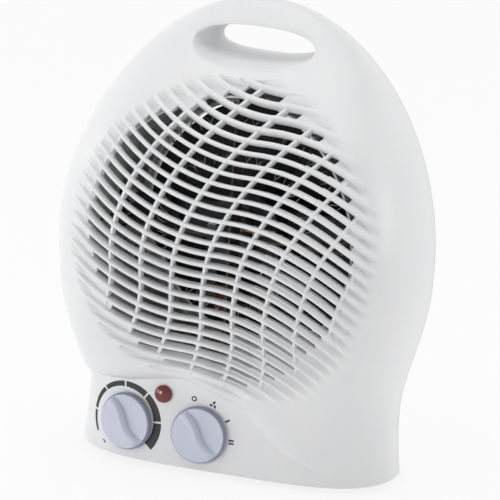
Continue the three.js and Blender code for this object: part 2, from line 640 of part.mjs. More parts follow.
const rearHub = ringOf(WALL / 2, hubDiscRadius, grilleBackY, rearY, ROUND_STEPS)
  .add(rod(0, fanHeight, grilleBackY(0, fanHeight), rearY(0, fanHeight), WALL));
const rearGrille = rearGrilleSheet.add(rearHub);

// A pan-head screw along y: its head lies on one side of the seat, its shank on the other
function screwOf([x, z], seat, towards, length) {
  const headEnds = [seat - towards * SCREW_HEAD, seat].sort((a, b) => a - b);
  const shankEnds = [seat, seat + towards * length].sort((a, b) => a - b);
  const slotY = seat - towards * SCREW_HEAD;
  const slotHalf = SCREW_HEAD / 2;
  const groove = boxOf(
    [x - SCREW_HEAD_RADIUS * 2, slotY - slotHalf, z - FIT_GAP],
    [x + SCREW_HEAD_RADIUS * 2, slotY + slotHalf, z + FIT_GAP],
  );
  const steps = SCREW_STEPS;
  const head = rod(x, z, headEnds[0], headEnds[1], SCREW_HEAD_RADIUS, steps).subtract(groove);
  return head.add(rod(x, z, shankEnds[0], shankEnds[1], SCREW_RADIUS, steps));
}

// Controls, each drawn about its own axis with the panel face at zero
const knobFootY = -2 * FIT_GAP;
const knobFaceY = knobFootY - KNOB_THICKNESS;
const bodyFrontY = WALL + FIT_GAP + CONTROL_SETBACK;
const hubEndY = bodyFrontY - 2 * FIT_GAP;
const spindleEnds = [knobFootY - SHEET, bodyFrontY + CONTROL_BODY_DEPTH / 2];
function spindleShape(grow) {
  const round = rod(0, 0, spindleEnds[0] - grow, spindleEnds[1] + grow, SPINDLE_RADIUS + grow);
  const side = SPINDLE_RADIUS - SPINDLE_FLAT + grow;
  const cut = boxOf([side, spindleEnds[0] - OVERRUN, -reach], [reach, hubEndY + FIT_GAP, reach]);
  return round.subtract(cut);
}
const turnToRest = (solid) => solid.rotate([0, REST_TURN_DEGREES, 0]);
const gripSpan = KNOB_RADIUS - SHEET;
const gripSide = (side) => Array.from({ length: SMALL_STEPS + 1 }, (_, k) => {
  const t = (2 * k) / SMALL_STEPS - 1;
  const half = (GRIP_WAIST + (GRIP_END - GRIP_WAIST) * t * t) / 2;
  return [GRIP_SWAY * Math.sin(Math.PI * t) + side * half, gripSpan * t];
});
const gripOutline = CrossSection.ofPolygons([[...gripSide(1), ...gripSide(-1).reverse()]], 'NonZero');
const grip = Manifold.extrude(gripOutline, GRIP_HEIGHT + OVERRUN, 0, 0, GRIP_DRAFT_SHARES).rotate([90, 0, 0])
  .translate([0, knobFaceY + OVERRUN, 0])
  .intersect(rod(0, 0, -reach, reach, KNOB_RADIUS - SHEET, ROUND_STEPS));
const knobDisc = turned([
  [0, hubEndY],
  [KNOB_HUB_RADIUS, hubEndY],
  [KNOB_HUB_RADIUS, knobFootY],
  [KNOB_RADIUS, knobFootY],
  [KNOB_RADIUS - FIT_GAP, knobFaceY + SHEET],
  [KNOB_RADIUS - FIT_GAP - SHEET, knobFaceY],
  [0, knobFaceY],
]);
const knob = turnToRest(knobDisc.add(grip).subtract(spindleShape(FIT_GAP)));
const spindle = turnToRest(spindleShape(0));
const spindleBore = rod(0, 0, 0, spindleEnds[1] + FIT_GAP * 2, SPINDLE_RADIUS + FIT_GAP);
const bodyScrewBores = [1, -1].map((side) => {
  return rod(side * CONTROL_SCREW_OFFSET, 0, 0, SCREW_REACH, SCREW_RADIUS + FIT_GAP);
});
const tabOf = (x) => boxOf(
  [x - WALL, bodyFrontY + CONTROL_BODY_DEPTH - OVERRUN, -SHEET / 2],
  [x + WALL, bodyFrontY + CONTROL_BODY_DEPTH + 2 * WALL, SHEET / 2],
);
const tabs = [tabOf(-WALL * 3), tabOf(WALL * 3)];
const controlBores = Manifold.union([spindleBore, ...bodyScrewBores]);
const bodyBackY = bodyFrontY + CONTROL_BODY_DEPTH;
const thermostatBody = rod(0, 0, bodyFrontY, bodyBackY, CONTROL_BODY_RADIUS, ROUND_STEPS)
  .add(Manifold.union(tabs)).subtract(controlBores);
const selectorBody = boxOf(
  [-CONTROL_BODY_RADIUS, bodyFrontY, -CONTROL_BODY_RADIUS],
  [CONTROL_BODY_RADIUS, bodyFrontY + CONTROL_BODY_DEPTH, CONTROL_BODY_RADIUS],
).add(Manifold.union([...tabs, tabOf(0)])).subtract(controlBores);
const controlScrew = (side) => {
  return rod(side * CONTROL_SCREW_OFFSET, 0, WALL / 2, SCREW_REACH - FIT_GAP, SCREW_RADIUS, SCREW_STEPS);
};

// Signal lamp
const lens = turned([
  ...scaled(LENS_DOME_SHARES, LENS_RADIUS, -LENS_RADIUS),
  [LENS_RADIUS, -2 * FIT_GAP],
  [LENS_STEM_RADIUS, -2 * FIT_GAP],
  [LENS_STEM_RADIUS, LENS_STEM_LENGTH],
  [0, LENS_STEM_LENGTH],
], SMALL_STEPS);
const neonFrontY = LENS_STEM_LENGTH + FIT_GAP;
const neon = Manifold.union([
  rod(0, 0, neonFrontY, neonFrontY + SCREW_REACH, NEON_RADIUS),
  rod(SHEET, 0, neonFrontY + SHEET, neonFrontY + SCREW_REACH + 2 * WALL, SHEET / 2, WIRE_END_STEPS),
  rod(-SHEET, 0, neonFrontY + SHEET, neonFrontY + SCREW_REACH + 2 * WALL, SHEET / 2, WIRE_END_STEPS),
]);
const clipY = WALL + 3 * FIT_GAP;
const lampClip = turned([
  [LENS_STEM_RADIUS + FIT_GAP, clipY],
  [LENS_RADIUS + SHEET, clipY],
  [LENS_RADIUS + SHEET, clipY + SHEET],
  [LENS_STEM_RADIUS + FIT_GAP, clipY + SHEET],
], SMALL_STEPS);

// Heater: sheet-metal duct, mica cross and two wavy wires
const ductFrontY = (x, z) => frontY(x, z) + LOUVRE_DEPTH + 2 * RUNNING_GAP;
const ductEars = ductPlaces.map(([x, z]) => rod(x, z, ductFootY - SHEET, ductFootY, POST_RADIUS + OVERRUN));
const ductBore = rod(0, fanHeight, -reach, reach, DUCT_RADIUS + SHEET / 2, RING_STEPS);
const duct = ringOf(DUCT_RADIUS, DUCT_RADIUS + SHEET, ductFrontY, () => ductFootY)
  .add(Manifold.union(ductEars).subtract(ductBore))
  .subtract(Manifold.union(ductPlaces.map((at) => pilotOf(at, ductFootY - SCREW_REACH))));
const coreBackY = bracketFrontY - FIT_GAP;
const coreFrontY = coreBackY - CORE_DEPTH;
const bridgeBackY = coreFrontY - FIT_GAP;
const bridgeFrontY = bridgeBackY - BRACKET_THICKNESS;
const micaBackY = bridgeFrontY - SCREW_HEAD - 2 * RUNNING_GAP;
const micaFrontY = micaBackY - MICA_DEPTH;
const wireY = (micaBackY + micaFrontY) / 2;
const insideLouvres = halfBody(frontY, frontRows, 0, 10, 10)
  .translate([0, LOUVRE_DEPTH + 2 * RUNNING_GAP, 0]);
const wireWave = (radius) => radius + WAVE_DEPTH;
const micaHoles = [OUTER_WIRE_RADIUS, INNER_WIRE_RADIUS].flatMap((radius) => [1, -1].map((side) => {
  const room = WIRE_RADIUS + 3 * FIT_GAP;
  const low = [side * wireWave(radius) - room, wireY - room, -SHEET * 2];
  const high = [side * wireWave(radius) + room, wireY + room, SHEET * 2];
  return boxOf(low, high);
}));
const micaReach = DUCT_RADIUS - FIT_GAP;
const micaHalf = MICA_THICKNESS / 2;
const micaBlade = boxOf([-micaReach, micaFrontY, -micaHalf], [micaReach, micaBackY, micaHalf])
  .subtract(Manifold.union(micaHoles));
const crossSlot = MICA_THICKNESS / 2 + FIT_GAP;
const micaLevel = micaBlade
  .subtract(boxOf([-crossSlot, wireY, -reach], [crossSlot, reach, reach]))
  .translate([0, 0, fanHeight]).intersect(insideLouvres);
const micaUpright = micaBlade
  .subtract(boxOf([-crossSlot, -reach, -reach], [crossSlot, wireY + FIT_GAP, reach]))
  .rotate([0, 90, 0]).translate([0, 0, fanHeight]).intersect(insideLouvres);

// A round tube along a line of points, closed at both ends
function tubeOf(line, radius, sides) {
  const along = (k) => {
    const [a, b] = [line[Math.max(k - 1, 0)], line[Math.min(k + 1, line.length - 1)]];
    return new THREE.Vector3(...b).sub(new THREE.Vector3(...a)).normalize();
  };
  const back = new THREE.Vector3(0, 1, 0);
  const rings = line.map((point, k) => {
    const side = along(k).cross(back).normalize();
    return Array.from({ length: sides }, (_, m) => {
      const turn = (2 * Math.PI * m) / sides;
      const out = side.clone().multiplyScalar(radius * Math.cos(turn));
      out.addScaledVector(back, radius * Math.sin(turn));
      return [point[0] + out.x, point[1] + out.y, point[2] + out.z];
    });
  });
  return loftOf(rings);
}

// One unbroken wavy wire round the duct, open at its foot, where its two ends turn back
function wavyWire(radius, waves) {
  const steps = waves * WAVE_STEPS;
  const line = [];
  for (let k = OPEN_STEPS; k <= steps - OPEN_STEPS; k += 1) {
    const turn = THREE.MathUtils.degToRad(WIRE_START_DEGREES) + (2 * Math.PI * k) / steps;
    const here = radius + WAVE_DEPTH * Math.cos(waves * turn);
    line.push([here * Math.sin(turn), wireY, fanHeight + here * Math.cos(turn)]);
  }
  return line;
}
const outerLine = wavyWire(OUTER_WIRE_RADIUS, OUTER_WAVES);
const innerLine = wavyWire(INNER_WIRE_RADIUS, INNER_WAVES);

// Least clear gap of a wire to itself, for points more than a wave apart
function leastGap(line, apart) {
  let least = Infinity;
  line.forEach((p, i) => line.slice(i + apart).forEach((q) => {
    least = Math.min(least, Math.hypot(p[0] - q[0], p[1] - q[1], p[2] - q[2]));
  }));
  return least - 2 * WIRE_RADIUS;
}
for (const [label, line] of [['heating_wire_outer', outerLine], ['heating_wire_inner', innerLine]]) {
  const gap = leastGap(line, OPEN_STEPS);
  console.log(label + ' least gap to itself ' + gap.toFixed(2) + ' mm');
  if (gap < FIT_GAP) throw new Error(label + ' touches itself');
}
const cutoutAt = [-(INNER_WIRE_RADIUS + WAVE_DEPTH * 2), fanHeight];
const thermalCutout = rod(cutoutAt[0], cutoutAt[1], coreBackY - 2 * WALL, coreBackY, POST_RADIUS + WALL)
  .add(boxOf(
    [cutoutAt[0] - WALL, coreBackY - 2 * WALL - SHEET, cutoutAt[1] - 4 * WALL],
    [cutoutAt[0] + WALL, coreBackY - 2 * WALL + SHEET / 2, cutoutAt[1] + 4 * WALL],
  ));
const fuseHeight = fanHeight + MICA_THICKNESS / 2 + FIT_GAP + SHAFT_RADIUS;
const fuseSpan = [HUB_RADIUS, HUB_RADIUS + SCREW_REACH];
const thermalFuse = Manifold.cylinder(fuseSpan[1] - fuseSpan[0], SHAFT_RADIUS, undefined, SMALL_STEPS)
  .rotate([0, 90, 0]).translate([fuseSpan[0], wireY, fuseHeight])
  .add(Manifold.cylinder(fuseSpan[1] - fuseSpan[0] + 4 * WALL, SHEET / 2, undefined, WIRE_END_STEPS)
    .rotate([0, 90, 0]).translate([fuseSpan[0] - 2 * WALL, wireY, fuseHeight]));

// Motor on its bracket
const boreRadius = ROTOR_RADIUS + RUNNING_GAP;
const motorScrewX = (boreRadius + CORE_RADIUS) / 2;
const motorPlaces = [[motorScrewX, fanHeight], [-motorScrewX, fanHeight]];
const motorBores = Manifold.union(motorPlaces.map(([x, z]) => {
  return rod(x, z, -reach, reach, SCREW_RADIUS + FIT_GAP);
}));
const bearingRadius = 2.5 * SHAFT_RADIUS;
const bearingBore = rod(0, fanHeight, -reach, reach, bearingRadius + FIT_GAP);
const bracketReach = bracketPlaces[0][0] + POST_RADIUS;
const bracketHalf = CORE_RADIUS / 2;
const motorBracket = boxOf(
  [-bracketReach, bracketFrontY, fanHeight - bracketHalf],
  [bracketReach, bracketBackY, fanHeight + bracketHalf],
).subtract(Manifold.union([
  motorBores,
  bearingBore,
  ...bracketPlaces.map(([x, z]) => rod(x, z, -reach, reach, SCREW_RADIUS + FIT_GAP)),
]));
const yokeTop = fanHeight - CORE_RADIUS - 3 * WALL - CORE_DEPTH / 2;
const yokeFoot = yokeTop - CORE_DEPTH / 2;
const core = rod(0, fanHeight, coreFrontY, coreBackY, CORE_RADIUS, ROUND_STEPS)
  .add(boxOf([-CORE_RADIUS, coreFrontY, yokeFoot], [CORE_RADIUS, coreBackY, fanHeight]))
  .subtract(boxOf(
    [-CORE_RADIUS + CORE_DEPTH / 2, -reach, yokeTop],
    [CORE_RADIUS - CORE_DEPTH / 2, reach, fanHeight - CORE_RADIUS],
  ))
  .subtract(rod(0, fanHeight, -reach, reach, boreRadius, ROUND_STEPS))
  .subtract(motorBores);
const coilHalf = CORE_RADIUS - CORE_DEPTH / 2 - RUNNING_GAP;
const coil = boxOf(
  [-coilHalf, coreFrontY - WALL, yokeFoot - COIL_BUILD],
  [coilHalf, coreBackY + WALL, yokeTop + COIL_BUILD],
).subtract(boxOf(
  [-reach, coreFrontY - FIT_GAP, yokeFoot - FIT_GAP],
  [reach, coreBackY + FIT_GAP, yokeTop + FIT_GAP],
));
const rotor = rod(0, fanHeight, coreFrontY + SHEET, coreBackY - SHEET, ROTOR_RADIUS, ROUND_STEPS)
  .subtract(rod(0, fanHeight, -reach, reach, SHAFT_RADIUS + FIT_GAP));
const shaft = rod(0, fanHeight, bridgeFrontY - SHEET, fanBackY + 2 * OVERRUN, SHAFT_RADIUS);
const bridge = boxOf(
  [-CORE_RADIUS, bridgeFrontY, fanHeight - bearingRadius],
  [CORE_RADIUS, bridgeBackY, fanHeight + bearingRadius],
).add(rod(0, fanHeight, bridgeFrontY, bridgeBackY, bearingRadius + WALL))
  .subtract(motorBores).subtract(bearingBore);
const bearingOf = (from, to) => rod(0, fanHeight, from, to, bearingRadius)
  .subtract(rod(0, fanHeight, -reach, reach, SHAFT_RADIUS + FIT_GAP));

// Fan: five twisted blades on a hub
const fanMiddleY = (fanFrontY + fanBackY) / 2;
function bladeOf(turn) {
  const point = (share, s, lift) => {
    const radius = HUB_RADIUS - SHEET + share * (FAN_RADIUS - HUB_RADIUS + SHEET);
    const half = THREE.MathUtils.degToRad(BLADE_TURN_DEGREES[0] + BLADE_TURN_DEGREES[1] * share);
    const angle = turn + s * half * (BLADE_ROOT_SHARE + (1 - BLADE_ROOT_SHARE) * share);
    const flat = 1 - BLADE_FALL_SHARE * share;
    const rise = (FAN_DEPTH / 2 - BLADE_THICKNESS) * flat * s * (1 - BLADE_BOW_SHARE * s * s);
    return [radius * Math.sin(angle), fanMiddleY + rise + lift, fanHeight + radius * Math.cos(angle)];
  };
  const sheet = (lift) => {
    return BLADE_SPAN_SHARES.map((share) => BLADE_CHORD_SHARES.map((s) => point(share, s, lift)));
  };
  return sheetOf(sheet(-BLADE_THICKNESS / 2), sheet(BLADE_THICKNESS / 2));
}
const blades = Array.from({ length: BLADES }, (_, k) => bladeOf((2 * Math.PI * k) / BLADES));
const impeller = rod(0, fanHeight, fanFrontY, fanBackY, HUB_RADIUS, ROUND_STEPS)
  .add(Manifold.union(blades))
  .subtract(rod(0, fanHeight, -reach, reach, SHAFT_RADIUS + FIT_GAP));
const fanClip = rod(0, fanHeight, fanBackY + FIT_GAP, fanBackY + FIT_GAP + SHEET, 2 * SHAFT_RADIUS + SHEET)
  .subtract(rod(0, fanHeight, -reach, reach, SHAFT_RADIUS + FIT_GAP));

// Cord inlet bush and terminal block
const bush = turned([
  [BUSH_RADIUS / 2, inletY - WALL * 3],
  [BUSH_RADIUS, inletY - WALL * 3],
  [BUSH_RADIUS, inletY + 3 * FIT_GAP],
  [BUSH_RADIUS + WALL, inletY + 3 * FIT_GAP],
  [BUSH_RADIUS + WALL - SHEET, inletY + WALL + FIT_GAP],
  [BUSH_RADIUS / 2, inletY + WALL + FIT_GAP],
]).translate([0, 0, INLET_HEIGHT]);
const terminalHoles = [1, 2, 3].map((k) => {
  const x = blockLow[0] + ((blockHigh[0] - blockLow[0]) * k) / 4;
  const hole = Manifold.cylinder(reach, SHAFT_RADIUS, undefined, SMALL_STEPS);
  return hole.translate([x, (blockLow[1] + blockHigh[1]) / 2, blockLow[2] + WALL]);
});
const terminalBlock = boxOf(blockLow, blockHigh).subtract(Manifold.union(terminalHoles));

// Feet, upright in the room
const footPad = Manifold.cylinder(FOOT_HEIGHT - FIT_GAP, FOOT_RADIUS - SHEET / 2, FOOT_RADIUS, ROUND_STEPS);
const footOf = ([x, y]) => footPad
  .add(Manifold.cylinder(FOOT_HEIGHT + WALL + SHEET, FOOT_PEG_RADIUS, undefined, SMALL_STEPS))
  .translate([x, y, 0]);

// Looks
const look = (color, roughness, metalness = 0) => {
  return new THREE.MeshStandardMaterial({ color, roughness, metalness });
};
const whitePlastic = look(0xf2f2f0, 0.35);
const greyPlastic = look(0xc6cbe0, 0.3);
const darkPlastic = look(0x33363a, 0.5);
const creamPlastic = look(0xe6dfcf, 0.5);
const redLens = look(0x8c1218, 0.15);
const sheetSteel = look(0xa9adb2, 0.4, 0.9);
const brightSteel = look(0xd4d8dc, 0.25, 1);
const micaLook = look(0xb59a6b, 0.6);
const copper = look(0xa5572c, 0.4, 0.9);
const rubber = look(0x2b2b2d, 0.85);
const glass = look(0xe9a15a, 0.1);

const body = new THREE.Group();
body.rotation.x = -lean;
const floor = new THREE.Group();

function addPart(group, name, solid, material) {
  const { vertProperties, triVerts, numProp } = wholeOf(solid).getMesh();
  const geometry = new THREE.BufferGeometry();
  geometry.setAttribute('position', new THREE.BufferAttribute(vertProperties, numProp));
  geometry.setIndex(new THREE.BufferAttribute(triVerts, 1));
  geometry.computeVertexNormals();
  const mesh = new THREE.Mesh(geometry, material);
  mesh.name = name;
  group.add(mesh);
}

addPart(body, 'front_housing', frontHousing, whitePlastic);
addPart(body, 'front_grille', frontGrille, whitePlastic);
addPart(body, 'rear_housing', rearHousing, whitePlastic);
addPart(body, 'rear_grille', rearGrille, whitePlastic);
addPart(body, 'thermostat_knob', place(knob, thermostatAt), greyPlastic);
addPart(body, 'thermostat_spindle', place(spindle, thermostatAt), brightSteel);
addPart(body, 'thermostat_body', place(thermostatBody, thermostatAt), creamPlastic);
addPart(body, 'selector_knob', place(knob, selectorAt), greyPlastic);
addPart(body, 'selector_spindle', place(spindle, selectorAt), brightSteel);
addPart(body, 'selector_body', place(selectorBody, selectorAt), darkPlastic);
addPart(body, 'thermostat_screw_left', place(controlScrew(-1), thermostatAt), brightSteel);
addPart(body, 'thermostat_screw_right', place(controlScrew(1), thermostatAt), brightSteel);
addPart(body, 'selector_screw_left', place(controlScrew(-1), selectorAt), brightSteel);
addPart(body, 'selector_screw_right', place(controlScrew(1), selectorAt), brightSteel);
addPart(body, 'lamp_lens', place(lens, lampAt), redLens);
addPart(body, 'neon_lamp', place(neon, lampAt), glass);
addPart(body, 'lamp_clip', place(lampClip, lampAt), sheetSteel);
addPart(body, 'element_duct', duct, sheetSteel);
addPart(body, 'mica_cross_level', micaLevel, micaLook);
addPart(body, 'mica_cross_upright', micaUpright, micaLook);
addPart(body, 'heating_wire_outer', tubeOf(outerLine, WIRE_RADIUS, WIRE_SIDES), brightSteel);
addPart(body, 'heating_wire_inner', tubeOf(innerLine, WIRE_RADIUS, WIRE_SIDES), brightSteel);
addPart(body, 'thermal_cutout', thermalCutout, darkPlastic);
addPart(body, 'thermal_fuse', thermalFuse, creamPlastic);
addPart(body, 'motor_bracket', motorBracket, sheetSteel);
addPart(body, 'stator_core', core, sheetSteel);
addPart(body, 'motor_coil', coil, copper);
addPart(body, 'motor_rotor', rotor, brightSteel);
addPart(body, 'motor_shaft', shaft, brightSteel);
addPart(body, 'bearing_bridge', bridge, sheetSteel);
addPart(body, 'bearing_front', bearingOf(bridgeFrontY, bridgeBackY), copper);
addPart(body, 'bearing_rear', bearingOf(bracketFrontY, bracketBackY), copper);
addPart(body, 'fan_impeller', impeller, darkPlastic);
addPart(body, 'fan_clip', fanClip, brightSteel);
addPart(body, 'terminal_block', terminalBlock, creamPlastic);
addPart(body, 'cord_inlet_bush', bush, darkPlastic);
screwPlaces.forEach((at, k) => {
  const name = 'housing_screw_' + ['lower_right', 'lower_left', 'upper_right', 'upper_left', 'base'][k];
  addPart(body, name, screwOf(at, SCREW_SEAT + FIT_GAP, -1, SCREW_SEAT + SCREW_REACH), brightSteel);
});
ductPlaces.forEach((at, k) => {
  const name = 'duct_screw_' + ['upper_right', 'upper_left', 'lower_left', 'lower_right'][k];
  addPart(body, name, screwOf(at, ductFootY - SHEET - FIT_GAP, 1, SCREW_REACH), brightSteel);
});
bracketPlaces.forEach((at, k) => {
  const name = 'bracket_screw_' + ['right', 'left'][k];
  addPart(body, name, screwOf(at, bracketFrontY - FIT_GAP, 1, SCREW_REACH), brightSteel);
});
motorPlaces.forEach((at, k) => {
  const name = 'motor_screw_' + ['right', 'left'][k];
  const length = bracketBackY - bridgeFrontY + SHEET;
  addPart(body, name, screwOf(at, bridgeFrontY - FIT_GAP, 1, length), brightSteel);
});
[...frontFeet, ...rearFeet].forEach((at, k) => {
  addPart(floor, 'foot_' + ['front_right', 'front_left', 'rear_right', 'rear_left'][k], footOf(at), rubber);
});

// The part stands on the ground with its box centred in depth
const heater = new THREE.Group();
heater.name = 'fan_heater';
heater.add(body, floor);
heater.updateMatrixWorld(true);
const box = new THREE.Box3().setFromObject(heater, true);
const root = new THREE.Group();
heater.position.y = -(box.min.y + box.max.y) / 2;
heater.position.x = -(box.min.x + box.max.x) / 2;
root.add(heater);
export default root;
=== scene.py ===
"""Dressed model of an upright fan convector heater.

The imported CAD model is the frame. This script puts finer surfaces and real finishes around it: a seamless
louvred front, a rear shell with its intake grille, two control knobs with their printed scale, a signal
lamp, the heating wires and the fan. Lengths inside the classes are millimetres in the leaned frame of the
body: x to the right, y backwards from the parting plane, z up along it. They become metres in the room
frame only when a mesh is made.
"""

from __future__ import annotations

import logging
import math
from dataclasses import dataclass, field
from enum import Enum
from typing import Any, Callable, Sequence

import bpy
import numpy as np
from mathutils import Matrix, Vector
from mathutils.geometry import delaunay_2d_cdt

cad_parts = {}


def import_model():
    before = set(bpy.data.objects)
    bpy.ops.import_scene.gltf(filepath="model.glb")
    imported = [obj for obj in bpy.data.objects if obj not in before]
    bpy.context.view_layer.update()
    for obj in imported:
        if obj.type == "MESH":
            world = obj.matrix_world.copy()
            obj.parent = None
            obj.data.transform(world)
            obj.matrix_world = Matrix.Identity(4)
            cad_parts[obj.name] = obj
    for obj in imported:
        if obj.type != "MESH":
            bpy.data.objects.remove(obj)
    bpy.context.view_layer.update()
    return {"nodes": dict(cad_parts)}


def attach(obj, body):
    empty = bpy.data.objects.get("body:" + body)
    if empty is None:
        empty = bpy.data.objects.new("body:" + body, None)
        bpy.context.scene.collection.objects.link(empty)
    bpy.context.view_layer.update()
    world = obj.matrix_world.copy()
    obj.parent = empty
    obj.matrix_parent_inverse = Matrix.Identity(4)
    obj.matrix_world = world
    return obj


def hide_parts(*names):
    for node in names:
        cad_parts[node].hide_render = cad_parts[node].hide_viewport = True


Array = np.ndarray
Surface = Callable[[Array, Array], Array]

LOG = logging.getLogger("heater")
METRE = 1000.0
TINY = 1e-6
WELD_STEPS = 2e3


class Body(Enum):
    """The CAD bodies that pieces ride on."""

    HEATER = "heater"
    THERMOSTAT = "thermostat_control"
    SELECTOR = "selector_control"
    FAN = "fan"


class Slot(Enum):
    """The material slots of the record, one named with each new piece."""

    WHITE = "white_plastic"
    KNOB = "knob_plastic"
    DARK = "dark_plastic"
    LENS = "lamp_red"
    BRIGHT = "bright_steel"


def linear(red: int, green: int, blue: int) -> tuple[float, float, float, float]:
    """Turns a screen colour into the linear colour that a shader takes, by the usual screen law.

    Args:
        red: Red from 0 to 255.
        green: Green from 0 to 255.
        blue: Blue from 0 to 255.

    Returns:
        Linear red, green, blue and an alpha of one.
    """
    values = np.array([red, green, blue]) / 255.0
    low = values / 12.92
    high = ((values + 0.055) / 1.055) ** 2.4
    return (*np.where(values <= 0.04045, low, high).tolist(), 1.0)


def ease(value: Array) -> Array:
    """Smooth step from 0 to 1: three squares less two cubes of the clipped value."""
    share = np.clip(value, 0.0, 1.0)
    return share * share * (3.0 - 2.0 * share)


@dataclass(frozen=True)
class SmoothCurve:
    """A smooth curve through stations that never overshoots them."""

    stations: tuple[tuple[float, float], ...]
    across: float = 1.0
    along: float = 1.0

    def __call__(self, at: Array) -> Array:
        """Height of the curve: a cubic between stations, with harmonic mean slopes at them.

        Args:
            at: Positions along the curve.

        Returns:
            Heights of the curve at those positions.
        """
        knots = np.array(self.stations) * (self.across, self.along)
        places, heights = knots[:, 0], knots[:, 1]
        gaps = np.diff(places)
        slopes = np.diff(heights) / gaps
        before = 2.0 * gaps[1:] + gaps[:-1]
        after = gaps[1:] + 2.0 * gaps[:-1]
        turning = slopes[:-1] * slopes[1:] <= 0.0
        safe_low = np.where(turning, 1.0, slopes[:-1])
        safe_high = np.where(turning, 1.0, slopes[1:])
        middle = np.where(turning, 0.0, (before + after) / (before / safe_low + after / safe_high))
        tangents = np.concatenate([slopes[:1], middle, slopes[-1:]])
        here = np.clip(np.asarray(at, float), places[0], places[-1])
        i = np.searchsorted(places[1:-1], here, side="left")
        t = (here - places[i]) / gaps[i]
        rise = t * t * (3.0 - 2.0 * t)
        bends = tangents[i] * t * (1.0 - t) ** 2 - tangents[i + 1] * t * t * (1.0 - t)
        return heights[i] * (1.0 - rise) + heights[i + 1] * rise + gaps[i] * bends


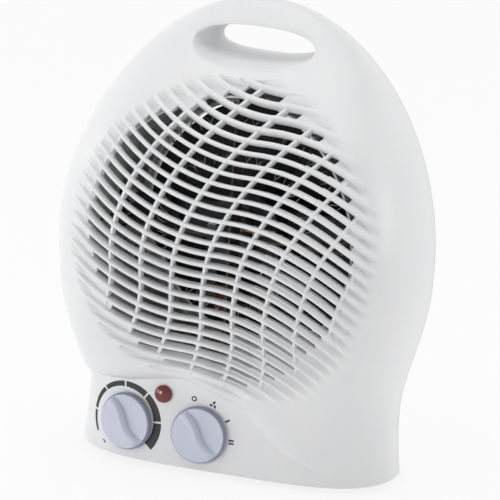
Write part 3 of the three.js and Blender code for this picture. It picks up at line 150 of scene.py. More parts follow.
@dataclass(frozen=True)
class BodyForm:
    """Outside of the body: the same sizes and laws as the CAD part has."""

    lean_degrees: float = 8.9
    depth_shift: float = -5.3076
    height: float = 257.0
    half_width_most: float = 104.5
    waist_half_width: float = 90.0
    front_depth: float = 68.3
    panel_depth: float = 35.8
    rear_depth: float = 47.5
    foot_flare: float = 2.8
    foot_height: float = 3.2
    half_seam: float = 0.2
    fan_share: float = 0.51
    widest_share: float = 0.482
    waist_share: float = 0.14
    belly_share: float = 0.389
    waist_power: float = 1.27
    crown_power: float = 1.94
    front_rim_power: float = 6.17
    front_edge_power: float = 2.48
    panel_rim_power: float = 4.1
    panel_edge_power: float = 2.2
    rear_rim_power: float = 2.2
    rear_edge_power: float = 1.5
    cut_rounds: int = 12
    front_shares: tuple[tuple[float, float], ...] = (
        (0, 0.96), (0.389, 0.96), (0.506, 1), (0.603, 0.962), (0.72, 0.849),
        (0.825, 0.586), (0.914, 0.336), (1, 0.19),
    )
    rear_shares: tuple[tuple[float, float], ...] = (
        (0, 0.93), (0.233, 1), (0.506, 0.857), (0.778, 0.753), (0.903, 0.696), (1, 0.42),
    )
    crease_shares: tuple[tuple[float, float], ...] = (
        (-0.93, 0.155), (-0.53, 0.167), (-0.21, 0.186), (-0.04, 0.166), (0.1, 0.146),
        (0.21, 0.109), (0.345, 0.063), (0.5, 0.033), (0.72, 0), (0.93, -0.016),
    )

    @property
    def lean(self) -> float:
        """Lean of the body in radians."""
        return math.radians(self.lean_degrees)

    @property
    def widest(self) -> float:
        """Height at which the body is widest."""
        return self.height * self.widest_share

    @property
    def waist(self) -> float:
        """Height of the waist."""
        return self.height * self.waist_share

    @property
    def belly(self) -> float:
        """Height at which the chin has swelled to the belly."""
        return self.height * self.belly_share

    @property
    def fan_height(self) -> float:
        """Height of the fan axis."""
        return self.height * self.fan_share

    def rise(self, z: Array) -> Array:
        """Share of the way up from the widest line to the top."""
        return np.clip((z - self.widest) / (self.height - self.widest), 0.0, 1.0)

    def half_width(self, z: Array) -> Array:
        """Half width at a height: a power crown above, a cosine waist with a squared flare below."""
        above = self.half_width_most * np.sqrt(1.0 - self.rise(z) ** self.crown_power)
        fall = np.clip((self.widest - z) / (self.widest - self.waist), 0.0, 1.0)
        swell = (1.0 + np.cos(math.pi * fall**self.waist_power)) / 2.0
        flare = self.foot_flare * np.maximum(1.0 - z / self.waist, 0.0) ** 2
        spread = self.half_width_most - self.waist_half_width
        below = self.waist_half_width + spread * swell + flare
        return np.where(z >= self.widest, above, below)

    def side_share(self, x: Array, z: Array) -> Array:
        """Share of the half width at a height."""
        return np.abs(x) / np.maximum(self.half_width(z), TINY)

    def rim_share(self, x: Array, z: Array) -> Array:
        """Share of the way from the middle out to the rim."""
        crown = np.sqrt((x / self.half_width_most) ** 2 + self.rise(z) ** self.crown_power)
        return np.clip(np.where(z >= self.widest, crown, self.side_share(x, z)), 0.0, 1.0)

    def crease(self, x: Array) -> Array:
        """Height of the crease between the panel and the chin."""
        return SmoothCurve(self.crease_shares, self.half_width_most, self.height)(x)

    def chin_share(self, x: Array, z: Array) -> Array:
        """How far the chin has swelled: a quarter ellipse on the left, a cosine on the right."""
        foot = self.crease(x)
        t = np.clip((z - foot) / (self.belly - foot), 0.0, 1.0)
        sharp = np.sqrt(1.0 - (1.0 - t) ** 2)
        soft = (1.0 - np.cos(math.pi * t)) / 2.0
        side = np.clip(x / self.half_width_most, 0.0, 1.0)
        return sharp * (1.0 - side) ** 2 + soft * (1.0 - (1.0 - side) ** 2)

    def front_y(self, x: Array, z: Array) -> Array:
        """Front face: panel depth plus the chin's share of the belly, each with a power law edge."""
        depth = SmoothCurve(self.front_shares, self.height, self.front_depth)(z)
        rim = self.rim_share(x, z)
        side = np.clip(self.side_share(x, z), 0.0, 1.0)
        belly = depth * (1.0 - rim**self.front_rim_power) ** (1.0 / self.front_edge_power)
        panel = self.panel_depth * (1.0 - side**self.panel_rim_power) ** (1.0 / self.panel_edge_power)
        return -(panel + (belly - panel) * self.chin_share(x, z))

    def rear_y(self, x: Array, z: Array) -> Array:
        """Rear face: a depth that changes with height, with a power law edge."""
        depth = SmoothCurve(self.rear_shares, self.height, self.rear_depth)(z)
        rim = self.rim_share(x, z)
        return depth * (1.0 - rim**self.rear_rim_power) ** (1.0 / self.rear_edge_power)

    def normals(self, surface: Surface, x: Array, z: Array, outward: float) -> Array:
        """Unit normals of a face from central differences of its depth.

        Args:
            surface: Depth law of the face.
            x: Places across the body.
            z: Places up the body.
            outward: Minus one for the front face and one for the rear face.

        Returns:
            Unit vectors that point out of the body.
        """
        step = 0.05
        slope_x = (surface(x + step, z) - surface(x - step, z)) / (2.0 * step)
        slope_z = (surface(x, z + step) - surface(x, z - step)) / (2.0 * step)
        steepest = 6.0
        slope_x = np.clip(slope_x, -steepest, steepest)
        slope_z = np.clip(slope_z, -steepest, steepest)
        vectors = outward * np.stack([-slope_x, np.ones_like(slope_x), -slope_z], axis=-1)
        return vectors / np.linalg.norm(vectors, axis=-1, keepdims=True)

    def cut_height(self, x: Array, surface: Surface) -> Array:
        """Height at which a face meets the level underside, found by repeated substitution."""
        z = np.zeros_like(np.asarray(x, float))
        for _ in range(self.cut_rounds):
            z = self.base_height(surface(x, z))
        return z

    def base_height(self, y: Array | float) -> Array | float:
        """Height of the level underside at a depth."""
        return (self.foot_height + y * math.sin(self.lean)) / math.cos(self.lean)

    def to_room(self, points: Array) -> Array:
        """Turns leaned millimetres into upright metres.

        Args:
            points: Points in the leaned frame of the body.

        Returns:
            The same points in the room frame, in metres.
        """
        x, y, z = points[:, 0], points[:, 1], points[:, 2]
        back = y * math.cos(self.lean) + z * math.sin(self.lean) + self.depth_shift
        up = z * math.cos(self.lean) - y * math.sin(self.lean)
        return np.stack([x, back, up], axis=1) / METRE


FORM = BodyForm()
THERMOSTAT_AT = (-55.7, 18.8)
SELECTOR_AT = (-11.9, 18.0)
LAMP_AT = (-34.4, 37.6)


@dataclass
class Skin:
    """Points and faces of one piece, gathered block by block.

    Each block may have a twin of its points on the far side of the wall. The twin closes the skin.
    """

    near: list[Array] = field(default_factory=list)
    far: list[Array] = field(default_factory=list)
    quads: list[Array] = field(default_factory=list)
    triangles: list[Array] = field(default_factory=list)
    count: int = 0

    def add(
        self, near: Array, faces: Array, far: Array | None = None, aim: Sequence[float] | None = None
    ) -> None:
        """Adds a block of points and the faces between them.

        Args:
            near: Points of the block.
            faces: Rows of three or four indices into the block.
            far: Twin points on the other side of the wall.
            aim: Direction that the block faces; its faces are turned round if they look the other way.
        """
        if aim is not None:
            a, b, c = (near.reshape(-1, 3)[faces[:, k]] for k in (0, 1, 2))
            if float(np.cross(b - a, c - a).sum(axis=0) @ np.array(aim)) < 0.0:
                faces = faces[:, ::-1]
        self.near.append(near.reshape(-1, 3))
        self.far.append((near if far is None else far).reshape(-1, 3))
        (self.quads if faces.shape[1] == 4 else self.triangles).append(faces + self.count)
        self.count += len(near.reshape(-1, 3))

    def grid(
        self,
        near: Array,
        far: Array | None = None,
        wraps: bool = False,
        keep: Array | None = None,
        aim: Sequence[float] | None = None,
    ) -> None:
        """Adds a surface given as rows and columns of points.

        Args:
            near: Points in rows and columns.
            far: Twin points in the same rows and columns.
            wraps: Whether the last column joins the first.
            keep: Which cells are kept, in rows and columns.
            aim: Direction that the surface faces.
        """
        rows, columns = near.shape[:2]
        index = np.arange(rows * columns).reshape(rows, columns)
        if wraps:
            index = np.concatenate([index, index[:, :1]], axis=1)
        cells = np.stack([index[:-1, :-1], index[:-1, 1:], index[1:, 1:], index[1:, :-1]], axis=-1)
        faces = cells[keep] if keep is not None else cells.reshape(-1, 4)
        self.add(near, faces, far, aim)

    def welded(self) -> tuple[Array, Array, Array, Array]:
        """Joins points that coincide and mends the faces.

        Returns:
            Near points, far points, quads and triangles.
        """
        near = np.concatenate(self.near)
        far = np.concatenate(self.far)
        keys = np.round(near * WELD_STEPS).astype(np.int64)
        _, first, place = np.unique(keys, axis=0, return_index=True, return_inverse=True)
        place = place.reshape(-1)
        quads = np.concatenate(self.quads) if self.quads else np.zeros((0, 4), int)
        triangles = np.concatenate(self.triangles) if self.triangles else np.zeros((0, 3), int)
        quads, triangles = place[quads], place[triangles]
        same = quads == np.roll(quads, -1, axis=1)
        bent = quads[same.sum(axis=1) == 1]
        spare = same[same.sum(axis=1) == 1].argmax(axis=1)
        held = np.ones(bent.shape, bool)
        held[np.arange(len(bent)), spare] = False
        triangles = np.concatenate([triangles, bent[held].reshape(-1, 3)])
        whole = (np.diff(np.sort(triangles, axis=1), axis=1) > 0).all(axis=1)
        used_quads = quads[same.sum(axis=1) == 0]
        return near[first], far[first], used_quads, triangles[whole]

    def walled(self) -> tuple[Array, list[Array]]:
        """Closes the skin: near side, far side turned round, and walls along every open edge.

        Returns:
            Points and a list of face arrays.
        """
        near, far, quads, triangles = self.welded()
        edges = np.concatenate(
            [quads[:, [k, (k + 1) % 4]] for k in range(4)]
            + [triangles[:, [k, (k + 1) % 3]] for k in range(3)]
        )
        total = len(near)
        forward = edges[:, 0] * total + edges[:, 1]
        backward = edges[:, 1] * total + edges[:, 0]
        rim = edges[~np.isin(forward, backward)]
        walls = np.stack([rim[:, 1], rim[:, 0], rim[:, 0] + total, rim[:, 1] + total], axis=1)
        faces = [quads, quads[:, ::-1] + total, triangles, triangles[:, ::-1] + total, walls]
        return np.concatenate([near, far]), faces

    def plain(self) -> tuple[Array, list[Array]]:
        """The welded skin without a far side, as points and face arrays."""
        near, _, quads, triangles = self.welded()
        return near, [quads, triangles]


def outward_faces(points: Array, faces: list[Array]) -> list[Array]:
    """Turns a closed set of faces round if they point inwards, by the sign of its volume."""
    volume = 0.0
    for block in faces:
        for k in range(1, block.shape[1] - 1):
            a, b, c = points[block[:, 0]], points[block[:, k]], points[block[:, k + 1]]
            volume += float(np.einsum("ij,ij->i", a, np.cross(b, c)).sum())
    return [block[:, ::-1] for block in faces] if volume < 0.0 else faces


def turned_block(*grids: Array) -> tuple[Array, list[Array]]:
    """Joins grids that are closed round an axis into one solid block.

    Args:
        grids: Points in rows along a profile and columns round the axis.

    Returns:
        Points and face arrays, facing outwards.
    """
    skin = Skin()
    for grid in grids:
        skin.grid(grid, wraps=True)
    welded, faces = skin.plain()
    return welded, outward_faces(welded, faces)


def joined(blocks: Sequence[tuple[Array, list[Array]]]) -> tuple[Array, list[Array]]:
    """Puts closed blocks side by side into one set of points and faces."""
    points, faces, count = [], [], 0
    for block_points, block_faces in blocks:
        faces += [block + count for block in block_faces]
        points.append(block_points)
        count += len(block_points)
    return np.concatenate(points), faces


def add_object(name: str, data: bpy.types.ID) -> bpy.types.Object:
    """Adds an object to the scene."""
    thing = bpy.data.objects.new(name, data)
    bpy.context.scene.collection.objects.link(thing)
    return thing


def make_piece(
    name: str, points: Array, faces: list[Array], sharp_degrees: float = 38.0
) -> bpy.types.Object:
    """Makes a mesh object at the origin from points in millimetres.

    Args:
        name: Name of the piece.
        points: Points in the leaned frame.
        faces: Arrays of triangles and quads.
        sharp_degrees: Edges that turn more than this stay sharp.

    Returns:
        The new object, smooth shaded.
    """
    blocks = [block for block in outward_faces(points, faces) if len(block)]
    place = FORM.to_room(points)
    used, compact = np.unique(np.concatenate([block.ravel() for block in blocks]), return_inverse=True)
    compact = compact.reshape(-1)
    sizes = np.concatenate([np.full(len(block), block.shape[1]) for block in blocks])
    mesh = bpy.data.meshes.new(name)
    mesh.vertices.add(len(used))
    mesh.vertices.foreach_set("co", place[used].astype(np.float32).ravel())
    mesh.loops.add(int(sizes.sum()))
    mesh.loops.foreach_set("vertex_index", compact.astype(np.int32))
    mesh.polygons.add(len(sizes))
    starts = np.concatenate([[0], np.cumsum(sizes)[:-1]]).astype(np.int32)
    mesh.polygons.foreach_set("loop_start", starts)
    mesh.update(calc_edges=True)
    mesh.validate()
    mesh.polygons.foreach_set("use_smooth", np.ones(len(mesh.polygons), bool))
    mesh.set_sharp_from_angle(angle=math.radians(sharp_degrees))
    piece = add_object(name, mesh)
    LOG.info("piece %s: %d points, %d faces", name, len(mesh.vertices), len(mesh.polygons))
    return piece


def within(points: Array, starts: Array, ends: Array) -> Array:
    """Whether points lie inside closed outlines, by counting the edges that a level ray crosses.

    Args:
        points: Points to test, as rows of two.
        starts: First ends of all the outline edges.
        ends: Second ends of the same edges.

    Returns:
        One truth value a point.
    """
    x, z = points[:, :1], points[:, 1:]
    ax, az, bx, bz = starts[:, 0], starts[:, 1], ends[:, 0], ends[:, 1]
    spans = (az > z) != (bz > z)
    run = np.where(bz == az, 1.0, bz - az)
    crossing = ax + (z - az) * (bx - ax) / run
    return (spans & (x < crossing)).sum(axis=1) % 2 == 1


def clear_of(points: Array, others: Array, gap: float, at_once: int = 400) -> Array:
    """Whether points keep a gap from all of some others, in blocks so that memory stays small."""
    parts = []
    for block in np.array_split(points, max(len(points) // at_once, 1)):
        squares = ((block[:, None, :] - others[None, :, :]) ** 2).sum(axis=2)
        parts.append(squares.min(axis=1) > gap * gap)
    return np.concatenate(parts)


def around(count: int) -> Array:
    """Angles of one turn without the last."""
    return np.arange(count) * (2.0 * math.pi / count)


def ring_at(radius: float, depth: float, angles: Array) -> Array:
    """Points of one ring about y, at given angles from straight up."""
    level = np.full_like(angles, depth)
    return np.stack([radius * np.sin(angles), level, radius * np.cos(angles)], axis=1)


def turned(profile: Array, count: int) -> Array:
    """Grid of a turned surface about y: each profile point is swept round a circle.

    Args:
        profile: Rows of radius and y.
        count: Steps round the circle.

    Returns:
        Points in rows along the profile and columns round the axis.
    """
    return np.stack([ring_at(radius, depth, around(count)) for radius, depth in profile])


@dataclass(frozen=True)
class Hole:
    """A round hole through a face, seen straight on."""

    x: float
    z: float
    radius: float
    steps: int = 36

    def loop(self) -> Array:
        """Outline of the hole: a circle."""
        return ring_at(self.radius, 0.0, around(self.steps))[:, [0, 2]] + (self.x, self.z)


@dataclass
class Shell:
    """One moulded half of the body: rim strip, filled face, rolled rim of the handle and level base."""

    name: str
    outward: float
    surface: Surface
    holes: tuple[Hole, ...] = ()
    wall: float = 2.2
    inner_share: float = 0.9
    crown_inner_share: float = 0.966
    rim_lines: int = 16
    rim_bunching: float = 1.15
    left_rows: int = 34
    right_rows: int = 40
    crown_rows: int = 120
    crown_turn_from: float = 36.0
    crown_turn_over: float = 22.0
    base_rows: int = 6
    handle_half_width: float = 34.5
    handle_half_height: float = 10.5
    handle_power: float = 2.3
    handle_height: float = 232.5
    handle_round: float = 6.0
    handle_steps: int = 120
    handle_land: float = 2.4
    land_divisors: tuple[float, ...] = (1.0, 3.0, 12.0)
    roll_steps: int = 9
    tunnel_steps: int = 7
    handle_pinch: float = 0.2
    handle_lift: float = 3.4
    seam_narrowing: float = 0.45
    face_narrowing: float = 1.0
    mesh_step: float = 2.6
    mesh_row_share: float = 0.866
    mesh_gap_share: float = 0.55
    mesh_merge: float = 1e-5
    mesh_across: tuple[float, float] = (-100.0, 100.0)
    mesh_up: tuple[float, float] = (-12.0, 255.0)
    rows_below_crease: int = 9
    rows_above_crease: int = 25
    crease_start: float = -84.0
    crease_end: float = 57.0
    crease_step: float = 1.75
    crease_blend: float = 12.0
    crease_guess: float = 95.0
    solving_rounds: int = 20
    crease_rounds: int = 8
    crease_steps: tuple[float, ...] = (
        -5.0, -2.6, -1.2, -0.45, -0.12, 0.0, 0.03, 0.1, 0.25, 0.5, 0.9, 1.5, 2.4, 3.6,
    )
    skin: Skin = field(default_factory=Skin)
    outlines: list[tuple[Array, Array]] = field(default_factory=list)

    def seated(self, x: Array, z: Array) -> Array:
        """Points of the outer face, held back from the parting plane by half the seam."""
        depth = self.surface(x, z)
        held = self.outward * np.maximum(self.outward * depth, FORM.half_seam)
        return np.stack([x, held, z], axis=-1)

    def lined(self, near: Array, thickness: Array | float | None = None) -> Array:
        """Points of the inner face: the outer ones moved in along the normal, kept off seam and base.

        Args:
            near: Points of the outer face.
            thickness: Wall thickness, one value or one a point.

        Returns:
            Points of the inner face.
        """
        depth = np.asarray(self.wall if thickness is None else thickness, float)
        x, z = near[..., 0], near[..., 2]
        inward = FORM.normals(self.surface, x, z, self.outward)
        far = near - inward * np.broadcast_to(depth, x.shape)[..., None]
        far[..., 1] = self.outward * np.maximum(self.outward * far[..., 1], FORM.half_seam)
        far[..., 2] = np.maximum(far[..., 2], FORM.base_height(far[..., 1]) + self.wall)
        return far

    def rim_shares(self) -> Array:
        """Lines of the rim strip, spaced by depth: the rim power law solved for its share."""
        depth = np.linspace(0.0, 1.0, self.rim_lines) ** self.rim_bunching
        power, edge = FORM.front_rim_power, FORM.front_edge_power
        last = (1.0 - self.inner_share**power) ** (1.0 / edge)
        return (1.0 - (depth * last) ** edge) ** (1.0 / power)

    def side_strip(self, shares: Array, side: float, up: Array, crease_rows: bool) -> tuple[Array, Array]:
        """Places of the strip below the widest line: share of the half width at each height.

        Args:
            shares: Rim shares of the strip's lines.
            side: Minus one on the left and one on the right.
            up: Row values, from 0 at the base to 1 at the widest line.
            crease_rows: Whether rows run along the crease.

        Returns:
            Two grids of places, across and up, with a row for each height.
        """
        share = shares[None, :]
        base = np.zeros((1, len(shares)))
        for _ in range(self.solving_rounds):
            across = side * share * FORM.half_width(base)
            base = FORM.cut_height(across, self.surface)
        if not crease_rows:
            z = base + (FORM.widest - base) * up[:, None]
            return side * share * FORM.half_width(z), z
        steps = np.array(self.crease_steps)
        low, high = steps[0], steps[-1]
        crease = np.full((1, len(shares)), FORM.crease(np.array([side * self.crease_guess]))[0])
        for _ in range(self.crease_rounds):
            crease = FORM.crease(side * share * FORM.half_width(crease))
        climb = np.linspace(0.0, 1.0, self.rows_below_crease + 1)[:-1, None]
        below = climb * (crease + low - base) + base
        middle = crease + steps[:, None]
        climb = np.linspace(0.0, 1.0, self.rows_above_crease + 1)[1:, None]
        above = crease + high + climb * (FORM.widest - crease - high)
        z = np.concatenate([below, middle, above])
        return side * share * FORM.half_width(z), z

    def rim_strip(self) -> tuple[Array, Array, Array]:
        """Adds the rim strip from the left foot over the crown to the right foot.

        Returns:
            The strip's two feet, left and right, and its inner line between them.
        """
        shares = self.rim_shares()
        front = self.outward < 0.0
        left_x, left_z = self.side_strip(shares, -1.0, np.linspace(0.0, 1.0, self.left_rows), front)
        right_x, right_z = self.side_strip(shares, 1.0, np.linspace(0.0, 1.0, self.right_rows), False)
        angles = np.linspace(math.pi, 0.0, self.crown_rows)[1:-1, None]
        beside = np.abs(angles - math.pi / 2) - math.radians(self.crown_turn_from)
        over = ease(beside / math.radians(self.crown_turn_over))
        slim = (1.0 - shares) / (1.0 - shares[-1])
        crown = 1.0 - slim * ((1.0 - self.crown_inner_share) * (1.0 - over) + (1.0 - shares[-1]) * over)
        rise = (crown * np.sin(angles)) ** (2.0 / FORM.crown_power)
        crown_x = FORM.half_width_most * crown * np.cos(angles)
        crown_z = FORM.widest + rise * (FORM.height - FORM.widest)
        x = np.concatenate([left_x, crown_x, right_x[::-1]])
        z = np.concatenate([left_z, crown_z, right_z[::-1]])
        near = self.seated(x, z)
        self.skin.grid(near, self.lined(near), aim=(0.0, self.outward, 0.0))
        return near[0], near[-1][::-1], near[:, -1]

    def crease_band(self, inner: Array) -> None:
        """Adds rows that run along the crease, so that the fold under the chin is crisp.

        Args:
            inner: Inner line of the rim strip, which the band starts from.
        """
        steps = np.array(self.crease_steps)
        left = inner[self.rows_below_crease : self.rows_below_crease + len(steps)]
        columns = np.arange(self.crease_start, self.crease_end, self.crease_step)
        shares = np.linspace(0.0, 1.0, len(columns))
        x = left[:, 0][:, None] * np.ones(len(columns))[None, :]
        blend = ease(shares[None, :] * self.crease_blend)
        x = x * (1.0 - blend) + columns[None, :] * blend
        z = FORM.crease(x) + steps[:, None]
        x[:, 0], z[:, 0] = left[:, 0], left[:, 2]
        near = self.seated(x, z)
        near[:, 0] = left
        far = self.lined(near)
        self.skin.grid(near, far, aim=(0.0, self.outward, 0.0))
        onward, back = slice(None), slice(None, None, -1)
        sides = [(0, onward), (onward, -1), (-1, back), (back, 0)]
        loop_near = np.concatenate([near[side][:-1] for side in sides])
        loop_far = np.concatenate([far[side][:-1] for side in sides])
        self.outlines.append((loop_near, loop_far))

    def handle_line(self, offset: float, narrowing: float) -> Array:
        """Outline of the handle hole: a superellipse moved out along its own normal.

        The hole narrows to the rear: its ends come in and its ledge comes up with the narrowing.

        Args:
            offset: Distance outside the hole's straight wall.
            narrowing: Nought at the front of the hole and one at its rear.

        Returns:
            Rows of across and up.
        """
        angles = around(self.handle_steps)
        wave = 2.0 / self.handle_power
        cosine, sine = np.cos(angles), np.sin(angles)
        x = self.handle_half_width * np.sign(cosine) * np.abs(cosine) ** wave
        z = self.handle_half_height * np.sign(sine) * np.abs(sine) ** wave
        tilt = self.handle_power - 1.0
        nx = np.sign(x) * np.abs(x / self.handle_half_width) ** tilt / self.handle_half_width
        nz = np.sign(z) * np.abs(z / self.handle_half_height) ** tilt / self.handle_half_height
        length = np.hypot(nx, nz)
        ledge = np.clip(-z / self.handle_half_height, 0.0, 1.0)
        across = x * (1.0 - self.handle_pinch * narrowing)
        up = self.handle_height + z + self.handle_lift * narrowing * ledge
        return np.stack([across + offset * nx / length, up + offset * nz / length], axis=1)

    def handle_rim(self) -> None:
        """Adds the rim of the handle hole: a land, a quarter turn inwards, then a narrowing tunnel."""
        near_rows, far_rows = [], []
        for divisor in self.land_divisors:
            line = self.handle_line(self.handle_round + self.handle_land / divisor, self.face_narrowing)
            near_rows.append(self.seated(line[:, 0], line[:, 1]))
            far_rows.append(self.lined(near_rows[-1]))
        for turn in np.linspace(0.0, math.pi / 2, self.roll_steps):
            aside = self.handle_round * (1.0 - math.sin(turn))
            sunk = self.handle_round * (1.0 - math.cos(turn))
            line = self.handle_line(aside, self.face_narrowing)
            near = self.seated(line[:, 0], line[:, 1])
            inner = self.lined(near)
            outer = self.handle_line(aside + self.wall, self.face_narrowing)
            beside = np.stack([outer[:, 0], near[:, 1], outer[:, 1]], axis=1)
            far = inner * (1.0 - math.sin(turn)) + beside * math.sin(turn)
            near[:, 1] -= self.outward * sunk
            far[:, 1] -= self.outward * sunk
            near_rows.append(near)
            far_rows.append(far)
        lip = near_rows[-1][:, 1]
        for share in np.linspace(0.0, 1.0, self.tunnel_steps)[1:]:
            narrowing = self.face_narrowing + (self.seam_narrowing - self.face_narrowing) * ease(share)
            for rows, extra in ((near_rows, 0.0), (far_rows, self.wall)):
                line = self.handle_line(extra, narrowing)
                depth = lip * (1.0 - share) + self.outward * FORM.half_seam * share
                rows.append(np.stack([line[:, 0], depth, line[:, 1]], axis=1))
        near, far = np.stack(near_rows), np.stack(far_rows)
        self.skin.grid(near, far, wraps=True, aim=(0.0, self.outward, 0.0))
        self.outlines.append((near[0], far[0]))

    def base_plate(self, line: Array) -> None:
        """Adds the level underside between the face's base line and the parting plane.

        Args:
            line: Base line of the whole face, from left to right.
        """
        seam = self.outward * FORM.half_seam
        back = line.copy()
        back[:, 1] = seam
        back[:, 2] = FORM.base_height(seam)
        shares = np.linspace(0.0, 1.0, self.base_rows)
        near = np.stack([line * (1.0 - share) + back * share for share in shares])
        far = near.copy()
        far[..., 2] += self.wall
        far[..., 0] = np.clip(far[..., 0], line[:, 0].min() + self.wall, line[:, 0].max() - self.wall)
        self.skin.grid(near, far, aim=(0.0, 0.0, -1.0))

    def fill(self, domain: tuple[Array, Array]) -> None:
        """Fills the face between the blocks with even triangles.

        Args:
            domain: Outer and inner points of the closed line that bounds the face.
        """
        loops = [domain, *self.outlines]
        for hole in self.holes:
            line = hole.loop()
            near = self.seated(line[:, 0], line[:, 1])
            loops.append((near, self.lined(near)))
        near = np.concatenate([loop[0] for loop in loops])
        far = np.concatenate([loop[1] for loop in loops])
        starts = np.concatenate([loop[0][:, [0, 2]] for loop in loops])
        ends = np.concatenate([np.roll(loop[0][:, [0, 2]], -1, axis=0) for loop in loops])
        step = self.mesh_step
        across = np.arange(*self.mesh_across, step)
        up = np.arange(*self.mesh_up, step * self.mesh_row_share)
        x, z = np.meshgrid(across, up)
        x[1::2] += step / 2.0
        loose = np.stack([x.ravel(), z.ravel()], axis=1)
        loose = loose[within(loose, starts, ends)]
        loose = loose[clear_of(loose, starts, step * self.mesh_gap_share)]
        edges, offset = [], 0
        for loop in loops:
            count = len(loop[0])
            turn = np.arange(count)
            edges.append(np.stack([turn, (turn + 1) % count], axis=1) + offset)
            offset += count
        flat = np.concatenate([starts, loose])
        face = self.seated(loose[:, 0], loose[:, 1])
        near = np.concatenate([near, face])
        far = np.concatenate([far, self.lined(face)])
        bounds = np.concatenate(edges)
        places = [Vector(place) for place in flat.tolist()]
        solved = delaunay_2d_cdt(places, bounds.tolist(), [], 0, self.mesh_merge)
        origin = np.array([sources[0] if sources else -1 for sources in solved[3]])
        faces = origin[np.array(solved[2])]
        faces = faces[(faces >= 0).all(axis=1)]
        middle = flat[faces].mean(axis=1)
        faces = faces[within(middle, starts, ends)]
        self.skin.add(near, faces, far, (0.0, self.outward, 0.0))

    def closing_line(self, inner: Array) -> Array:
        """Base line of the face between the feet of the rim strip, from right to left."""
        count = int((inner[-1, 0] - inner[0, 0]) / self.mesh_step)
        x = np.linspace(inner[-1, 0], inner[0, 0], count)[1:-1]
        return self.seated(x, FORM.cut_height(x, self.surface))

    def build(self) -> bpy.types.Object:
        """Builds the whole half: strip, blocks, fill and base, closed by its inner side."""
        left_foot, right_foot, inner = self.rim_strip()
        self.add_blocks(inner)
        self.handle_rim()
        base = self.closing_line(inner)
        domain = np.concatenate([inner, base])
        self.fill((domain, self.lined(domain)))
        self.base_plate(np.concatenate([left_foot, base[::-1], right_foot]))
        return make_piece(self.name, *joined([self.skin.walled(), *self.solid_blocks()]))

    def add_blocks(self, inner: Array) -> None:
        """Adds blocks of the face that only one half has; here there are none."""

    def solid_blocks(self) -> list[tuple[Array, list[Array]]]:
        """Closed blocks that only one half has; here there are none."""
        return []


@dataclass
class RearShell(Shell):
    """Rear half, with the ring round the fan and the ledge that holds the intake grille."""

    ring_radius: float = 67.8
    ring_front: float = 4.8
    ledge_radius: float = 75.0
    collar_radius: float = 73.0
    collar_share: float = 0.6
    grille_depth: float = 3.4
    ring_steps: int = 144

    def solid_blocks(self) -> list[tuple[Array, list[Array]]]:
        """Makes the fan ring with its ledge and collar as one turned block along the rear face."""
        inside, outside = self.ring_radius, self.ring_radius + self.wall
        top, bottom, edge = self.grille_depth, self.grille_depth + self.wall, self.wall * self.collar_share
        profile = (
            (inside, None), (outside, None), (outside, bottom), (self.ledge_radius, bottom),
            (self.ledge_radius, edge), (self.collar_radius, edge), (self.collar_radius, top), (inside, top),
            (inside, None),
        )
        rows = []
        for radius, depth in profile:
            row = ring_at(radius, self.ring_front, around(self.ring_steps))
            row[:, 2] += FORM.fan_height
            if depth is not None:
                row[:, 1] = FORM.rear_y(row[:, 0], row[:, 2]) - depth
            rows.append(row)
        return [turned_block(np.stack(rows))]


